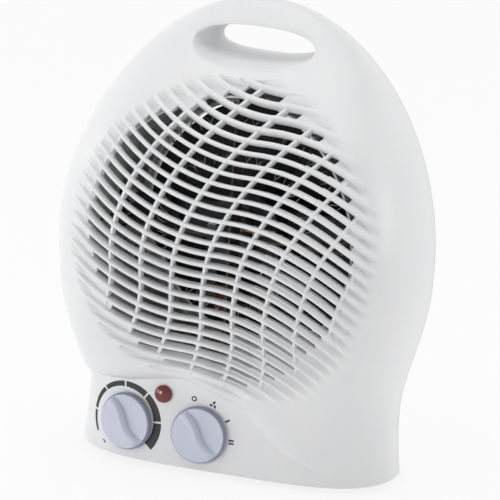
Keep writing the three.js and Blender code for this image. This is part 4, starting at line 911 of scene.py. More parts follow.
@dataclass
class LouvredFront(Shell):
    """Front half with its wavy louvres, moulded as one piece."""

    pitch: float = 6.28
    rib_pitch: float = 17.9
    slat_bend: float = 0.005
    slat_shift: float = -2.03
    slat_middle: float = FORM.height * 0.4794
    rib_bend_up: float = 0.0051
    rib_bend_down: float = 0.0082
    rib_shift: float = -6.86
    rib_lean: float = -0.062
    rib_centre: float = -4.9
    rib_turn: float = FORM.height * 0.3615
    rows_beside: int = 15
    ribs_beside: int = 8
    lattice_rounds: int = 48
    open_x: float = 3.0
    open_z: float = 132.5
    open_radii: tuple[tuple[float, float], ...] = (
        (-180, 77.5), (-150, 76.0), (-125, 79.0), (-105, 80.5), (-88, 83.0), (-72, 84.0), (-58, 82.0),
        (-40, 79.0), (0, 78.0), (45, 79.5), (68, 79.5), (76, 82.0), (91, 82.6), (97, 79.0), (112, 77.5),
        (130, 81.0), (150, 79.0), (180, 77.5),
    )
    open_above_crease: float = 5.6
    fade_radius: float = 88.0
    fade_over: float = 6.0
    fade_stretch: float = 0.7
    longest_fade: float = 9.0
    longest_angle: float = -1.0
    longest_spread: float = 0.5
    fade_beside: float = 3.2
    fade_chin: float = 4.0
    fade_edge: float = 3.0
    handle_round: float = 1.6
    handle_land: float = 1.8
    face_narrowing: float = 0.0
    groove: float = 3.0
    slat_depth: float = 5.2
    slot_share: float = 0.31
    row_lines: tuple[float, ...] = (
        -0.5, -0.44, -0.39, -0.35, -0.325, -0.31, -0.28, -0.14, 0.0,
        0.07, 0.14, 0.21, 0.28, 0.31, 0.325, 0.35, 0.39, 0.44,
    )
    row_depths: tuple[float, ...] = (
        0.0, 0.03, 0.13, 0.33, 0.6, 0.86, 1.0, 1.0, 1.0,
        1.0, 1.0, 1.0, 1.0, 0.86, 0.6, 0.33, 0.13, 0.03,
    )
    ramp_depths: tuple[float, ...] = (
        0.0, 0.03, 0.13, 0.33, 0.6, 0.86, 1.05, 1.2, 1.15,
        1.02, 0.86, 0.68, 0.5, 0.42, 0.37, 0.29, 0.18, 0.07,
    )
    ramp_from: float = 8.0
    ramp_over: float = 62.0
    ramp_tilt: float = 0.35
    ramp_share: float = 0.2
    thicken_rate: float = 1.6
    end_round: float = 2.2
    least_cells: int = 5
    rib_half: float = 0.064
    rib_lines: tuple[float, ...] = (
        -0.5, -0.36, -0.22, -0.12, -0.064, -0.036, 0.036, 0.064, 0.12, 0.22, 0.36,
    )
    rib_rise: float = 0.68
    rib_fade_from: float = 0.7
    rib_fade_over: float = 4.0
    rib_clear: float = 0.02
    end_steps: int = 1200
    end_reach: float = 0.075
    end_rows: float = 0.4
    patch_fade: float = 0.002
    patch_gap: float = 0.5
    patch_crease_gap: float = 0.25
    patch_rim_gap: float = 0.01

    def lattice(self, row: Array, rib: Array) -> tuple[Array, Array]:
        """Places of the lattice: where the wave of a row crosses the wave of a rib.

        The row is a height less a signed square across, the rib a place plus a square of the height.
        Both are met by damped repeated substitution.

        Args:
            row: Row numbers, growing downwards.
            rib: Rib numbers, growing to the right.

        Returns:
            Places across and up.
        """
        x = self.rib_centre + self.rib_pitch * rib
        z = self.slat_middle - self.pitch * row
        for _ in range(self.lattice_rounds):
            u = z - self.rib_turn - self.rib_shift * rib
            bend = np.where(u > 0.0, self.rib_bend_up, -self.rib_bend_down)
            x = (x + self.rib_centre + self.rib_pitch * rib + self.rib_lean * u + bend * u * u) / 2.0
            v = x - self.slat_shift * row
            z = (z + self.slat_middle - self.pitch * row - np.sign(v) * self.slat_bend * v * v) / 2.0
        return x, z

    def fade(self, x: Array, z: Array) -> Array:
        """Depth share of the grooves: one inside the grille, easing to nothing at its edge.

        The grooves run out further at the lower right, round the longest angle.
        """
        across, up = x - self.open_x, z - self.open_z
        aside = (np.arctan2(up, across) - self.longest_angle) / self.longest_spread
        longer = self.longest_fade * np.exp(-(aside**2))
        inside = self.fade_radius + longer - np.hypot(across, up)
        edge = ease(inside / (self.fade_over + self.fade_stretch * longer))
        beside = ease((self.open_edge(x, z) + self.fade_beside) / self.fade_edge)
        chin = ease((z - FORM.crease(x) - self.fade_chin) / self.fade_edge)
        return np.maximum(edge, beside) * chin

    def ramp(self, x: Array, z: Array) -> Array:
        """How far a slat's upper side slopes: nought at the left, one towards the lower right."""
        return ease((x - self.ramp_tilt * (z - self.open_z) - self.ramp_from) / self.ramp_over)

    def open_edge(self, x: Array, z: Array) -> Array:
        """Distance inside the edge of the open slots, which is nearly a circle."""
        across, up = x - self.open_x, z - self.open_z
        reach = SmoothCurve(self.open_radii)(np.degrees(np.arctan2(up, across)))
        return reach - np.hypot(across, up)

    def add_blocks(self, inner: Array) -> None:
        """Adds the crease band and the lattice of slats, ribs and open slots."""
        self.crease_band(inner)
        row_lines, rib_lines = np.array(self.row_lines), np.array(self.rib_lines)
        levels = np.arange(-self.rows_beside, self.rows_beside)
        rows = (levels[:, None] + row_lines[None, :]).ravel()
        ribs = (np.arange(-self.ribs_beside, self.ribs_beside)[:, None] + rib_lines[None, :]).ravel()
        rib = self.fitted_ribs(rows, ribs)
        x, z = self.lattice(np.broadcast_to(rows[:, None], rib.shape), rib)
        face = self.patch_cells(x, z, rows)
        fade = self.fade(x, z)
        fade[self.patch_rim(face)] = 0.0
        near = self.seated(x, z)
        normals = FORM.normals(self.surface, x, z, self.outward)
        far = self.lined(near, self.wall + (self.slat_depth - self.wall) * ease(fade * self.thicken_rate))
        aside = np.abs(rib - np.round(rib)) / self.rib_half
        risen = ease(self.open_edge(x, z) / self.rib_fade_over + self.rib_fade_from)
        crest = self.rib_rise * np.clip(1.0 - aside**2, 0.0, 1.0) * risen
        level = np.tile(np.array(self.row_depths), len(levels))[:, None]
        sloped = np.tile(np.array(self.ramp_depths), len(levels))[:, None]
        depth = level + (sloped - level) * self.ramp(x, z)
        sunk = near - normals * (self.groove * fade * depth * (1.0 - crest))[..., None]
        kept = face & ~self.open_cells(x, z, rows, ribs)
        self.skin.grid(sunk, far, keep=kept, aim=(0.0, self.outward, 0.0))
        self.patch_outlines(face, near, far)

    def open_cells(self, x: Array, z: Array, rows: Array, ribs: Array) -> Array:
        """Which cells of the lattice are open slots.

        A slot is cut by the ribs beside it and ends where its middle line leaves the open edge, a little
        sooner at its upper and lower sides. Where the slat slopes, the slot's lower side is closed.

        Args:
            x: Places across.
            z: Places up.
            rows: Row values of the lines.
            ribs: Rib values of the lines.

        Returns:
            One truth value a cell.
        """
        count = len(self.row_lines)
        cell_rows, cell_ribs = (rows[:-1] + rows[1:]) / 2.0, (ribs[:-1] + ribs[1:]) / 2.0
        aside = (cell_rows - np.round(cell_rows))[:, None]
        between = np.abs(cell_ribs - np.round(cell_ribs)) > self.rib_half
        middle = np.minimum((np.arange(len(rows) - 1) // count) * count + count // 2, len(rows) - 2)
        mid_x = (x[middle, :-1] + x[middle + 1, 1:]) / 2.0
        mid_z = (z[middle, :-1] + z[middle + 1, 1:]) / 2.0
        inside = self.open_edge(mid_x, mid_z) > self.end_round * (aside / self.slot_share) ** 2
        lower = self.slot_share - self.ramp_share * self.ramp(mid_x, mid_z)
        clear = mid_z > FORM.crease(mid_x) + self.open_above_crease
        opened = (aside > -self.slot_share) & (aside < lower) & between[None, :] & inside & clear
        cells = np.add.reduceat(opened, np.arange(0, len(opened), count), axis=0)
        opened &= np.repeat(cells >= self.least_cells, count, axis=0)[: len(opened)]
        return self.wide_slots(opened)

    def wide_slots(self, opened: Array) -> Array:
        """Drops the openings that are narrower than three cells, at the very ends of the slots."""
        core = opened.copy()
        core[:, 1:-1] &= opened[:, :-2] & opened[:, 2:]
        core[:, [0, -1]] = False
        wide = core.copy()
        wide[:, :-1] |= core[:, 1:]
        wide[:, 1:] |= core[:, :-1]
        return wide

    def fitted_ribs(self, rows: Array, ribs: Array) -> Array:
        """Rib values of every point, with the columns next to a slot's end moved onto that end.

        Args:
            rows: Row values of the lines.
            ribs: Rib values of the columns.

        Returns:
            Rib values in rows and columns.
        """
        fitted = np.tile(ribs, (len(rows), 1))
        fine = np.linspace(ribs[0], ribs[-1], self.end_steps)
        on_rib = np.abs(ribs - np.round(ribs)) <= self.rib_half + self.rib_clear
        for level in np.unique(np.round(rows[:-1])):
            x, z = self.lattice(np.full_like(fine, level), fine)
            edge = self.open_edge(x, z)
            lines = np.abs(rows - level) < self.end_rows
            for k in np.nonzero(edge[:-1] * edge[1:] < 0.0)[0]:
                end = fine[k] + (fine[k + 1] - fine[k]) * edge[k] / (edge[k] - edge[k + 1])
                column = int(np.argmin(np.where(on_rib, np.inf, np.abs(ribs - end))))
                if abs(ribs[column] - end) < self.end_reach:
                    fitted[lines, column] = end
        return fitted

    def patch_cells(self, x: Array, z: Array, rows: Array) -> Array:
        """Which cells of the lattice belong to the patch, whole slot rows at a time.

        Args:
            x: Places across.
            z: Places up.
            rows: Row values of the lines.

        Returns:
            One truth value a cell.
        """
        count = len(self.row_lines)
        middle = np.arange(count // 2, len(rows), count)
        centre_x, centre_z = x[middle], z[middle]
        cell_x = (centre_x[:, :-1] + centre_x[:, 1:]) / 2.0
        cell_z = (centre_z[:, :-1] + centre_z[:, 1:]) / 2.0
        groove = self.fade(cell_x, cell_z) > self.patch_fade
        kept = np.repeat(groove, count, axis=0)[: len(rows) - 1]
        power = self.handle_power
        wide = self.handle_half_width + self.handle_round + self.handle_land + self.patch_gap
        high = self.handle_half_height + self.handle_round + self.handle_land + self.patch_gap
        ring = (np.abs(x) / wide) ** power + (np.abs(z - self.handle_height) / high) ** power > 1.0
        chin = z > FORM.crease(x) + self.crease_steps[-1] + self.patch_crease_gap
        rim = FORM.rim_share(x, z) < self.inner_share - self.patch_rim_gap
        free = ring & chin & rim
        clear = free[:-1, :-1] & free[1:, :-1] & free[:-1, 1:] & free[1:, 1:]
        return kept & clear

    def patch_rim(self, face: Array) -> Array:
        """Which points of the lattice lie on the edge of the patch."""
        held = np.zeros((face.shape[0] + 1, face.shape[1] + 1), int)
        for down in (0, 1):
            for over in (0, 1):
                held[down : down + face.shape[0], over : over + face.shape[1]] += face
        return (held > 0) & (held < 4)

    def patch_outlines(self, face: Array, near: Array, far: Array) -> None:
        """Follows the closed lines round the patch, cell side by cell side.

        Args:
            face: Which cells the patch has.
            near: Outer points of the lattice.
            far: Inner points of the lattice.
        """
        height, width = near.shape[:2]
        index = np.arange(height * width).reshape(height, width)
        cells = (index[:-1, :-1], index[:-1, 1:], index[1:, 1:], index[1:, :-1])
        corners = [cell[face] for cell in cells]
        sides = np.concatenate([np.stack([corners[k], corners[(k + 1) % 4]], axis=1) for k in range(4)])
        total = height * width
        forward = sides[:, 0] * total + sides[:, 1]
        backward = sides[:, 1] * total + sides[:, 0]
        rim = sides[~np.isin(forward, backward)]
        after: dict[int, list[int]] = {}
        for start, end in rim.tolist():
            after.setdefault(start, []).append(end)
        flat_near, flat_far = near.reshape(-1, 3), far.reshape(-1, 3)
        while after:
            first = next(iter(after))
            line, here = [first], after[first].pop()
            while here != first:
                line.append(here)
                here = after[here].pop()
            after = {start: ends for start, ends in after.items() if ends}
            self.outlines.append((flat_near[line], flat_far[line]))


@dataclass(frozen=True)
class Knob:
    """Control knob: a thin disc with a stepped skirt and a smooth waisted grip across it."""

    name: str
    node: str
    body: Body
    at: tuple[float, float]
    y: float
    turn_degrees: float
    rest_degrees: float = -42.0
    radius: float = 16.0
    face_radius: float = 14.9
    foot: float = 0.9
    face: float = 4.1
    skirt: float = 3.1
    grip_top: float = 8.5
    waist: float = 2.1
    end: float = 4.6
    sway: float = 1.9
    hub_radius: float = 4.4
    hub_end: float = 4.45
    lines: int = 60
    core_share: float = 0.5
    sway_turn: float = 0.92
    grip_power: float = 3.2
    grip_root: float = 1.5
    fall_from: float = 0.78
    fall_over: float = 0.22
    fall_power: float = 2.4
    crown_level: float = 0.93
    crown_wave: float = 0.07
    skirt_gap: float = 0.27
    skirt_steps: int = 120

    def placed(self, points: Array) -> Array:
        """Turns points to the knob's rest and sets them on the panel.

        Args:
            points: Points about the knob's own axis, outwards along minus y.

        Returns:
            The points in the leaned frame.
        """
        rest, turn = math.radians(self.rest_degrees), math.radians(self.turn_degrees)
        x, y, z = points[..., 0], points[..., 1], points[..., 2]
        x, z = x * math.cos(rest) + z * math.sin(rest), z * math.cos(rest) - x * math.sin(rest)
        x, y = x * math.cos(turn) - y * math.sin(turn), x * math.sin(turn) + y * math.cos(turn)
        return np.stack([x + self.at[0], y + self.y, z + self.at[1]], axis=-1)

    def face_grid(self) -> Array:
        """Face of the knob: a square grid pressed into a disc, raised into the grip.

        The middle line of the grip sways as a sine of the place along it, its half width grows with the
        square of that place, and its height is a rounded power of the place across it.

        Returns:
            Points in rows along the grip and columns across it.
        """
        along = np.sin(np.linspace(-math.pi / 2, math.pi / 2, self.lines))[:, None]
        sheet = np.linspace(-1.0, 1.0, self.lines + 1)[None, :]
        reach = self.face_radius
        middle = self.sway * np.sin(math.pi * along * self.sway_turn) / reach
        half = (self.waist + (self.end - self.waist) * along**2) / reach
        inside = np.clip(sheet / self.core_share, -1.0, 1.0)
        beyond = np.clip((np.abs(sheet) - self.core_share) / (1.0 - self.core_share), 0.0, 1.0)
        edge = middle + np.sign(sheet) * half
        across = middle + inside * half + np.sign(sheet) * beyond * (1.0 - np.sign(sheet) * edge)
        u = reach * along * np.sqrt(np.maximum(1.0 - across**2 / 2.0, 0.0))
        v = reach * across * np.sqrt(np.maximum(1.0 - along**2 / 2.0, 0.0))
        raised = (1.0 - np.abs(inside) ** self.grip_power) ** (1.0 / self.grip_root)
        outside = np.clip((np.hypot(u, v) / reach - self.fall_from) / self.fall_over, 0.0, 1.0)
        fall = np.sqrt(np.clip(1.0 - outside**self.fall_power, 0.0, 1.0))
        crown = self.crown_level + self.crown_wave * np.cos(math.pi * along)
        tall = (self.grip_top - self.face) * raised * fall * crown
        return np.stack([v, -(self.face + tall), u], axis=-1)

    def build(self) -> bpy.types.Object:
        """Builds the knob as one closed skin: face, stepped skirt, underside and hub."""
        face = self.face_grid()
        rim = np.concatenate([face[0, :-1], face[:-1, -1], face[-1, :0:-1], face[:0:-1, 0]])
        angle = np.arctan2(rim[:, 0], rim[:, 2])
        under = -self.foot - 0.1
        profile = (
            (self.face_radius + 0.12, -self.face + 0.08), (self.face_radius + 0.24, -self.face + 0.35),
            (self.face_radius + 0.25, under), (self.hub_radius, under), (self.hub_radius, self.hub_end),
            (0.0, self.hub_end),
        )
        rows = [rim, *(ring_at(radius, depth, angle) for radius, depth in profile)]
        skin = Skin()
        skin.grid(face)
        skin.grid(np.stack(rows), wraps=True)
        points, faces = skin.plain()
        return make_piece(self.name, self.placed(points), faces, sharp_degrees=50.0)

    def skirt_ring(self) -> bpy.types.Object:
        """Builds the skirt round the dial, whose darker finish is painted shade at the knob's edge: a
        turned ring with rounded edges.
        """
        inner, outer = self.face_radius + self.skirt_gap, self.radius
        profile = np.array([
            (inner, -self.skirt), (inner + 0.3, -self.skirt - 0.06), (outer - 0.3, -self.skirt + 0.1),
            (outer, -self.skirt + 0.5), (outer, -self.foot - 0.3), (outer - 0.2, -self.foot),
            (inner, -self.foot), (inner, -self.skirt),
        ])
        points, faces = turned_block(turned(profile, self.skirt_steps))
        return make_piece(self.name + "_skirt", self.placed(points), faces)


@dataclass(frozen=True)
class SignalLamp:
    """Domed red lens of the signal lamp."""

    at: tuple[float, float] = LAMP_AT
    y: float = -35.636
    radius: float = 5.0
    stem_radius: float = 3.7
    stem_end: float = 6.0
    brim: float = 0.75
    dome: float = 2.5
    dome_power: float = 0.9
    dome_rows: int = 18
    steps: int = 72

    def build(self) -> bpy.types.Object:
        """Turns the lens: an elliptic dome, a rounded brim and a plain stem."""
        angles = np.linspace(0.0, math.pi / 2, self.dome_rows)
        height = self.brim + self.dome * np.cos(angles) ** self.dome_power
        dome = np.stack([self.radius * np.sin(angles), -height], axis=1)
        rest = np.array([
            (self.radius, -0.4), (self.radius - 0.1, -0.18), (self.radius - 0.4, -0.1),
            (self.stem_radius, -0.1), (self.stem_radius, self.stem_end), (0.0, self.stem_end),
        ])
        points, faces = turned_block(turned(np.concatenate([dome, rest]), self.steps))
        return make_piece("lamp_dome", points + (self.at[0], self.y, self.at[1]), faces)


@dataclass
class PanelMarks:
    """Marks printed on the panel: the tapered heat scale and four plain switch symbols.

    Each mark is a row of numbers: its place from the knob's axis, and then its size.
    """

    scale_x: float = -57.0
    scale_z: float = 18.9
    scale_radius: float = 21.9
    scale_from: float = -119.0
    scale_to: float = 131.0
    thin: float = 1.25
    thick: float = 5.3
    gaps: tuple[float, ...] = (-86.0, -44.0, -4.0, 37.0, 85.0)
    gap_width: float = 1.1
    gap_inset: float = 2.0
    scale_steps: int = 24
    scale_rows: int = 4
    low_stroke: tuple[float, ...] = (20.3, -138.0, 2.2, 0.75, -48.0)
    stroke_steps: int = 6
    off_ring: tuple[float, ...] = (-4.4, 19.5, 1.55, 0.85)
    ring_steps: int = 28
    fan_place: tuple[float, ...] = (7.0, 17.7, 2.1)
    blade_steps: int = 8
    blade_root: float = 0.25
    blade_power: float = 0.7
    blade_sweep: float = 0.5
    blade_width: float = 0.62
    heat_strokes: tuple[tuple[float, ...], ...] = (
        (15.7, 9.8, 3.0, 1.0, 58.0), (18.5, -0.9, 3.0, 1.0, 90.0), (18.5, -2.6, 3.0, 1.0, 90.0),
    )
    ink: float = 0.07
    skin: Skin = field(default_factory=Skin)

    def stamp(self, x: Array, z: Array, wraps: bool = False) -> None:
        """Lays a grid of places on the panel as a thin film of ink.

        Args:
            x: Places across, in rows and columns.
            z: Places up, in rows and columns.
            wraps: Whether the last column joins the first.
        """
        depth = FORM.front_y(x, z)
        near = np.stack([x, depth - self.ink, z], axis=-1)
        far = np.stack([x, depth + self.ink, z], axis=-1)
        self.skin.grid(near, far, wraps=wraps)

    def heat_scale(self) -> None:
        """Adds the scale: an arc whose width grows evenly round the knob, cut by narrow gaps."""
        ends = [self.scale_from, *self.gaps, self.scale_to]
        half = math.degrees(self.gap_width / 2.0 / (self.scale_radius - self.gap_inset))
        for k, (low, high) in enumerate(zip(ends[:-1], ends[1:])):
            start = low + (half if k else 0.0)
            stop = high - (half if k < len(self.gaps) else 0.0)
            angle = np.radians(np.linspace(start, stop, self.scale_steps))[None, :]
            share = (np.degrees(angle) - self.scale_from) / (self.scale_to - self.scale_from)
            width = self.thin + (self.thick - self.thin) * share
            radius = self.scale_radius - width * np.linspace(0.0, 1.0, self.scale_rows)[:, None]
            self.stamp(self.scale_x + radius * np.sin(angle), self.scale_z + radius * np.cos(angle))

    def ring(self, x: float, z: float, outer: float, inner: float) -> None:
        """Adds a small ring between two radii."""
        angle = around(self.ring_steps)[None, :]
        radius = np.array([[outer], [inner]])
        self.stamp(x + radius * np.sin(angle), z + radius * np.cos(angle), wraps=True)

    def stroke(self, x: float, z: float, length: float, width: float, degrees: float) -> None:
        """Adds a short straight stroke about its middle."""
        turn = math.radians(degrees)
        along = np.linspace(-length / 2, length / 2, self.stroke_steps)[None, :]
        aside = np.array([[-width / 2], [width / 2]])
        self.stamp(
            x + along * math.sin(turn) + aside * math.cos(turn),
            z + along * math.cos(turn) - aside * math.sin(turn),
        )

    def fan_sign(self, x: float, z: float, radius: float) -> None:
        """Adds a small three-bladed fan: each blade widens as a sine of the way out."""
        for k in range(3):
            share = np.linspace(0.0, 1.0, self.blade_steps)[None, :]
            spread = np.array([[-1.0], [0.0], [1.0]]) * np.sin(math.pi * share**self.blade_power)
            angle = 2.0 * math.pi * k / 3 + self.blade_sweep * share + self.blade_width * spread
            out = self.blade_root + radius * share
            self.stamp(x + out * np.sin(angle), z + out * np.cos(angle))

    def build(self) -> bpy.types.Object:
        """Builds all the marks as one piece of ink: scale, low stroke, ring, fan sign and strokes."""
        self.heat_scale()
        radius, degrees, *size = self.low_stroke
        low = math.radians(degrees)
        self.stroke(self.scale_x + radius * math.sin(low), self.scale_z + radius * math.cos(low), *size)
        switch_x, switch_z = SELECTOR_AT
        marks = [(self.ring, self.off_ring), (self.fan_sign, self.fan_place)]
        marks += [(self.stroke, stroke) for stroke in self.heat_strokes]
        for draw, (across, up, *size) in marks:
            draw(switch_x + across, switch_z + up, *size)
        points, faces = self.skin.walled()
        return make_piece("panel_marks", points, faces)


@dataclass(frozen=True)
class HeatingWire:
    """Coiled heating wire that runs in a ring inside the duct."""

    name: str
    node: str
    ring_radius: float
    coils: int
    coil_radius: float = 3.3
    wire_radius: float = 0.42
    depth: float = -31.7
    foot_gap_degrees: float = 6.0
    start_degrees: float = 225.0
    steps_a_coil: int = 18
    small_turn: float = 1e-4
    sides: int = 8

    def build(self) -> bpy.types.Object:
        """Builds a tube round a coil whose middle line is a circle about the fan axis."""
        steps = self.coils * self.steps_a_coil
        gap = math.radians(self.foot_gap_degrees)
        run = np.linspace(gap, 2.0 * math.pi - gap, steps)
        place = run + math.radians(self.start_degrees)
        coil = self.coils * run

        def line(at: Array, phase: Array) -> Array:
            """Middle line of the coil: a small circle carried round the large one."""
            out = self.ring_radius + self.coil_radius * np.cos(phase)
            back = self.depth + self.coil_radius * np.sin(phase)
            return np.stack([out * np.sin(at), back, FORM.fan_height + out * np.cos(at)], axis=-1)

        middle = line(place, coil)
        along = line(place + self.small_turn, coil + self.coils * self.small_turn) - middle
        along /= np.linalg.norm(along, axis=1, keepdims=True)
        level = np.stack([np.sin(place), np.zeros_like(place), np.cos(place)], axis=1)
        first = np.cross(along, level)
        first /= np.linalg.norm(first, axis=1, keepdims=True)
        second = np.cross(along, first)
        turn = around(self.sides)[None, :, None]
        tube = middle[:, None, :] + self.wire_radius * (
            np.cos(turn) * first[:, None, :] + np.sin(turn) * second[:, None, :]
        )
        tips = [np.repeat(middle[k][None, None, :], self.sides, axis=1) for k in (0, -1)]
        points, faces = turned_block(np.concatenate([tips[0], tube, tips[1]]))
        return make_piece(self.name, points, faces, sharp_degrees=60.0)


@dataclass
class IntakeGrille:
    """Rear grille of rings and spokes with rounded bars, shaped to the rear face."""

    radius: float = 72.0
    bar: float = 2.4
    rings: int = 8
    spokes: int = 16
    thickness: float = 3.0
    bar_lines: tuple[float, ...] = (0.0, 0.12, 0.5, 0.88, 1.0)
    spoke_lines: tuple[float, ...] = (-1.0, -0.7, 0.0, 0.7, 1.0)
    rounds: tuple[float, ...] = (0.75, 0.3, 0.0, 0.3, 0.75)
    back_round: float = 0.6
    gap_steps: int = 9

    def build(self) -> bpy.types.Object:
        """Builds the grille: rows follow the rings and columns the spokes, cells between stay open."""
        pitch = self.radius / self.rings
        inner = pitch * np.arange(1, self.rings + 1) - self.bar
        radii = (inner[:, None] + self.bar * np.array(self.bar_lines)[None, :]).ravel()
        ring_low = np.tile(np.array(self.rounds), self.rings)
        ring_row = np.tile(np.array(self.bar_lines) < 1.0, self.rings)[:-1]
        half_turn = math.pi / self.spokes
        aside = np.minimum(self.bar / 2.0, radii * math.sin(half_turn / 2.0))
        edge = np.arcsin(aside / radii)
        columns, lows, open_column = [], [], []
        for k in range(self.spokes):
            centre = 2.0 * half_turn * k
            for share, low in zip(self.spoke_lines, self.rounds):
                columns.append(centre + share * edge)
                lows.append(low)
                open_column.append(share == 1.0)
            for step in range(1, self.gap_steps):
                columns.append(centre + edge + step / self.gap_steps * (2.0 * half_turn - 2.0 * edge))
                lows.append(max(self.rounds))
                open_column.append(True)
        angle = np.stack(columns, axis=1)
        low = np.minimum(ring_low[:, None], np.array(lows)[None, :])
        x = radii[:, None] * np.sin(angle)
        z = FORM.fan_height + radii[:, None] * np.cos(angle)
        depth = FORM.rear_y(x, z)
        near = np.stack([x, depth - low, z], axis=-1)
        far = np.stack([x, depth - self.thickness + low * self.back_round, z], axis=-1)
        skin = Skin()
        skin.grid(near, far, wraps=True, keep=ring_row[:, None] | ~np.array(open_column)[None, :])
        face = float(FORM.rear_y(np.array([0.0]), np.array([FORM.fan_height]))[0])
        hub = [
            np.stack([row, np.broadcast_to((0.0, middle, FORM.fan_height), row.shape)])
            for row, middle in ((near[0], face), (far[0], face - self.thickness))
        ]
        skin.grid(*hub, wraps=True)
        points, faces = skin.walled()
        return make_piece("intake_grille", points, faces)


@dataclass(frozen=True)
class Impeller:
    """Five broad twisted blades on a hub; together they nearly fill the fan's circle."""

    blades: int = 5
    hub_radius: float = 11.0
    hub_edge: float = 1.2
    root_sink: float = 1.0
    tip_radius: float = 67.0
    front: float = 5.5
    back: float = 23.3
    sheet: float = 1.3
    shaft: float = 2.6
    half_span_degrees: float = 43.0
    root_span: float = 0.88
    corner: float = 5.0
    corner_power: int = 6
    tip_flattening: float = 0.25
    bow: float = 0.18
    steps: int = 22
    hub_steps: int = 64

    def build(self) -> bpy.types.Object:
        """Builds blades and hub: each blade climbs evenly with its angle and bows a little."""
        middle = (self.front + self.back) / 2.0
        half_depth = (self.back - self.front) / 2.0 - self.sheet
        out = np.linspace(0.0, 1.0, self.steps)[:, None]
        over = np.linspace(-1.0, 1.0, self.steps)[None, :]
        root = self.hub_radius - self.root_sink
        corner = np.abs(over) ** self.corner_power * self.corner
        radius = root + out * (self.tip_radius - root - corner)
        share = self.root_span + (1.0 - self.root_span) * out
        swept = np.radians(self.half_span_degrees) * share * over
        climb = half_depth * over * (1.0 - self.tip_flattening * out)
        climb = middle + climb * (1.0 - self.bow * over**2) / (1.0 - self.bow) - self.sheet / 2.0
        skin = Skin()
        for k in range(self.blades):
            angle = swept + 2.0 * math.pi * k / self.blades
            x, z = radius * np.sin(angle), FORM.fan_height + radius * np.cos(angle)
            near = np.stack([x, climb, z], axis=-1)
            skin.grid(near, near + (0.0, self.sheet, 0.0))
        hub = np.array([
            (self.shaft, self.front), (self.hub_radius - self.hub_edge, self.front),
            (self.hub_radius, self.front + self.hub_edge), (self.hub_radius, self.back),
            (self.shaft, self.back), (self.shaft, self.front),
        ])
        post = turned(hub, self.hub_steps) + (0.0, 0.0, FORM.fan_height)
        return make_piece("broad_impeller", *joined([skin.walled(), turned_block(post)]))


def feed(tree: bpy.types.NodeTree, node: bpy.types.Node, inputs: dict[str | int, Any]) -> bpy.types.Node:
    """Sets a node's inputs.

    Args:
        tree: Node tree of the node.
        node: Node whose inputs are set.
        inputs: What each input gets: a socket is joined to it, and any other value is written to it.

    Returns:
        The same node.
    """
    for key, value in inputs.items():
        if isinstance(value, bpy.types.NodeSocket):
            tree.links.new(value, node.inputs[key])
        else:
            node.inputs[key].default_value = value
    return node


def add_node(
    tree: bpy.types.NodeTree, kind: str, inputs: dict[str | int, Any] | None = None, operation: str = ""
) -> bpy.types.Node:
    """Adds a shader node.

    Args:
        tree: Node tree that gets it.
        kind: Its type, without the prefix that all of them share.
        inputs: What its inputs get, as in feed.
        operation: What a mathematics node works out.

    Returns:
        The new node.
    """
    node = tree.nodes.new("ShaderNode" + kind)
    if operation:
        node.operation = operation
    return feed(tree, node, inputs or {})


class Pattern(Enum):
    """Where the colour of a finish varies."""

    CLOUD = "cloud"
    STREAK = "streak"
    SPECKLE = "speckle"


@dataclass(frozen=True)
class Finish:
    """A node-built finish: colour variation, roughness and bump on object coordinates."""

    name: str
    light: tuple[float, float, float, float]
    dark: tuple[float, float, float, float]
    pattern: Pattern = Pattern.CLOUD
    scale: float = 60.0
    rough_low: float = 0.3
    rough_high: float = 0.42
    grain: float = 900.0
    bump: float = 0.05
    metallic: float = 0.0
    coat: float = 0.0
    transmission: float = 0.0
    streak_stretch: float = 9.0
    soft_step: float = 0.3
    speckle_step: float = 0.12
    smudge_share: float = 2.7
    bump_depth: float = 0.0002
    coat_roughness: float = 0.08

    def noise(self, tree: bpy.types.NodeTree, scale: float, detail: float) -> bpy.types.NodeSocket:
        """Adds a noise field on object coordinates, drawn out across where the pattern is streaks.

        Args:
            tree: Node tree of the material.
            scale: Size of the field, in cells a metre.
            detail: Number of finer layers.

        Returns:
            The value of the field.
        """
        stretch = self.streak_stretch if self.pattern is Pattern.STREAK else 1.0
        place = add_node(tree, "TexCoord").outputs["Object"]
        spread = add_node(tree, "Mapping", {"Vector": place, "Scale": (1.0 / stretch, 1.0, 1.0)})
        cells = {"Vector": spread.outputs["Vector"], "Scale": scale, "Detail": detail}
        return add_node(tree, "TexNoise", cells).outputs["Fac"]

    def build(self) -> bpy.types.Material:
        """Builds the material: two colours mixed by noise, a roughness range and a fine bump."""
        material = bpy.data.materials.new(self.name)
        material.use_nodes = True
        tree = material.node_tree
        mixed = add_node(tree, "ValToRGB", {"Fac": self.noise(tree, self.scale, detail=4.0)})
        step = self.speckle_step if self.pattern is Pattern.SPECKLE else self.soft_step
        for stop, side, colour in zip(mixed.color_ramp.elements, (-1.0, 1.0), (self.dark, self.light)):
            stop.position = 0.5 + side * step
            stop.color = colour
        rough = add_node(tree, "MapRange", {
            "Value": self.noise(tree, self.scale * self.smudge_share, detail=3.0),
            "To Min": self.rough_low,
            "To Max": self.rough_high,
        })
        bump = add_node(tree, "Bump", {
            "Height": self.noise(tree, self.grain, detail=2.0),
            "Strength": self.bump,
            "Distance": self.bump_depth,
        })
        feed(tree, tree.nodes["Principled BSDF"], {
            "Base Color": mixed.outputs["Color"],
            "Roughness": rough.outputs["Result"],
            "Normal": bump.outputs["Normal"],
            "Metallic": self.metallic,
            "Coat Weight": self.coat,
            "Coat Roughness": self.coat_roughness,
            "Transmission Weight": self.transmission,
        })
        return material


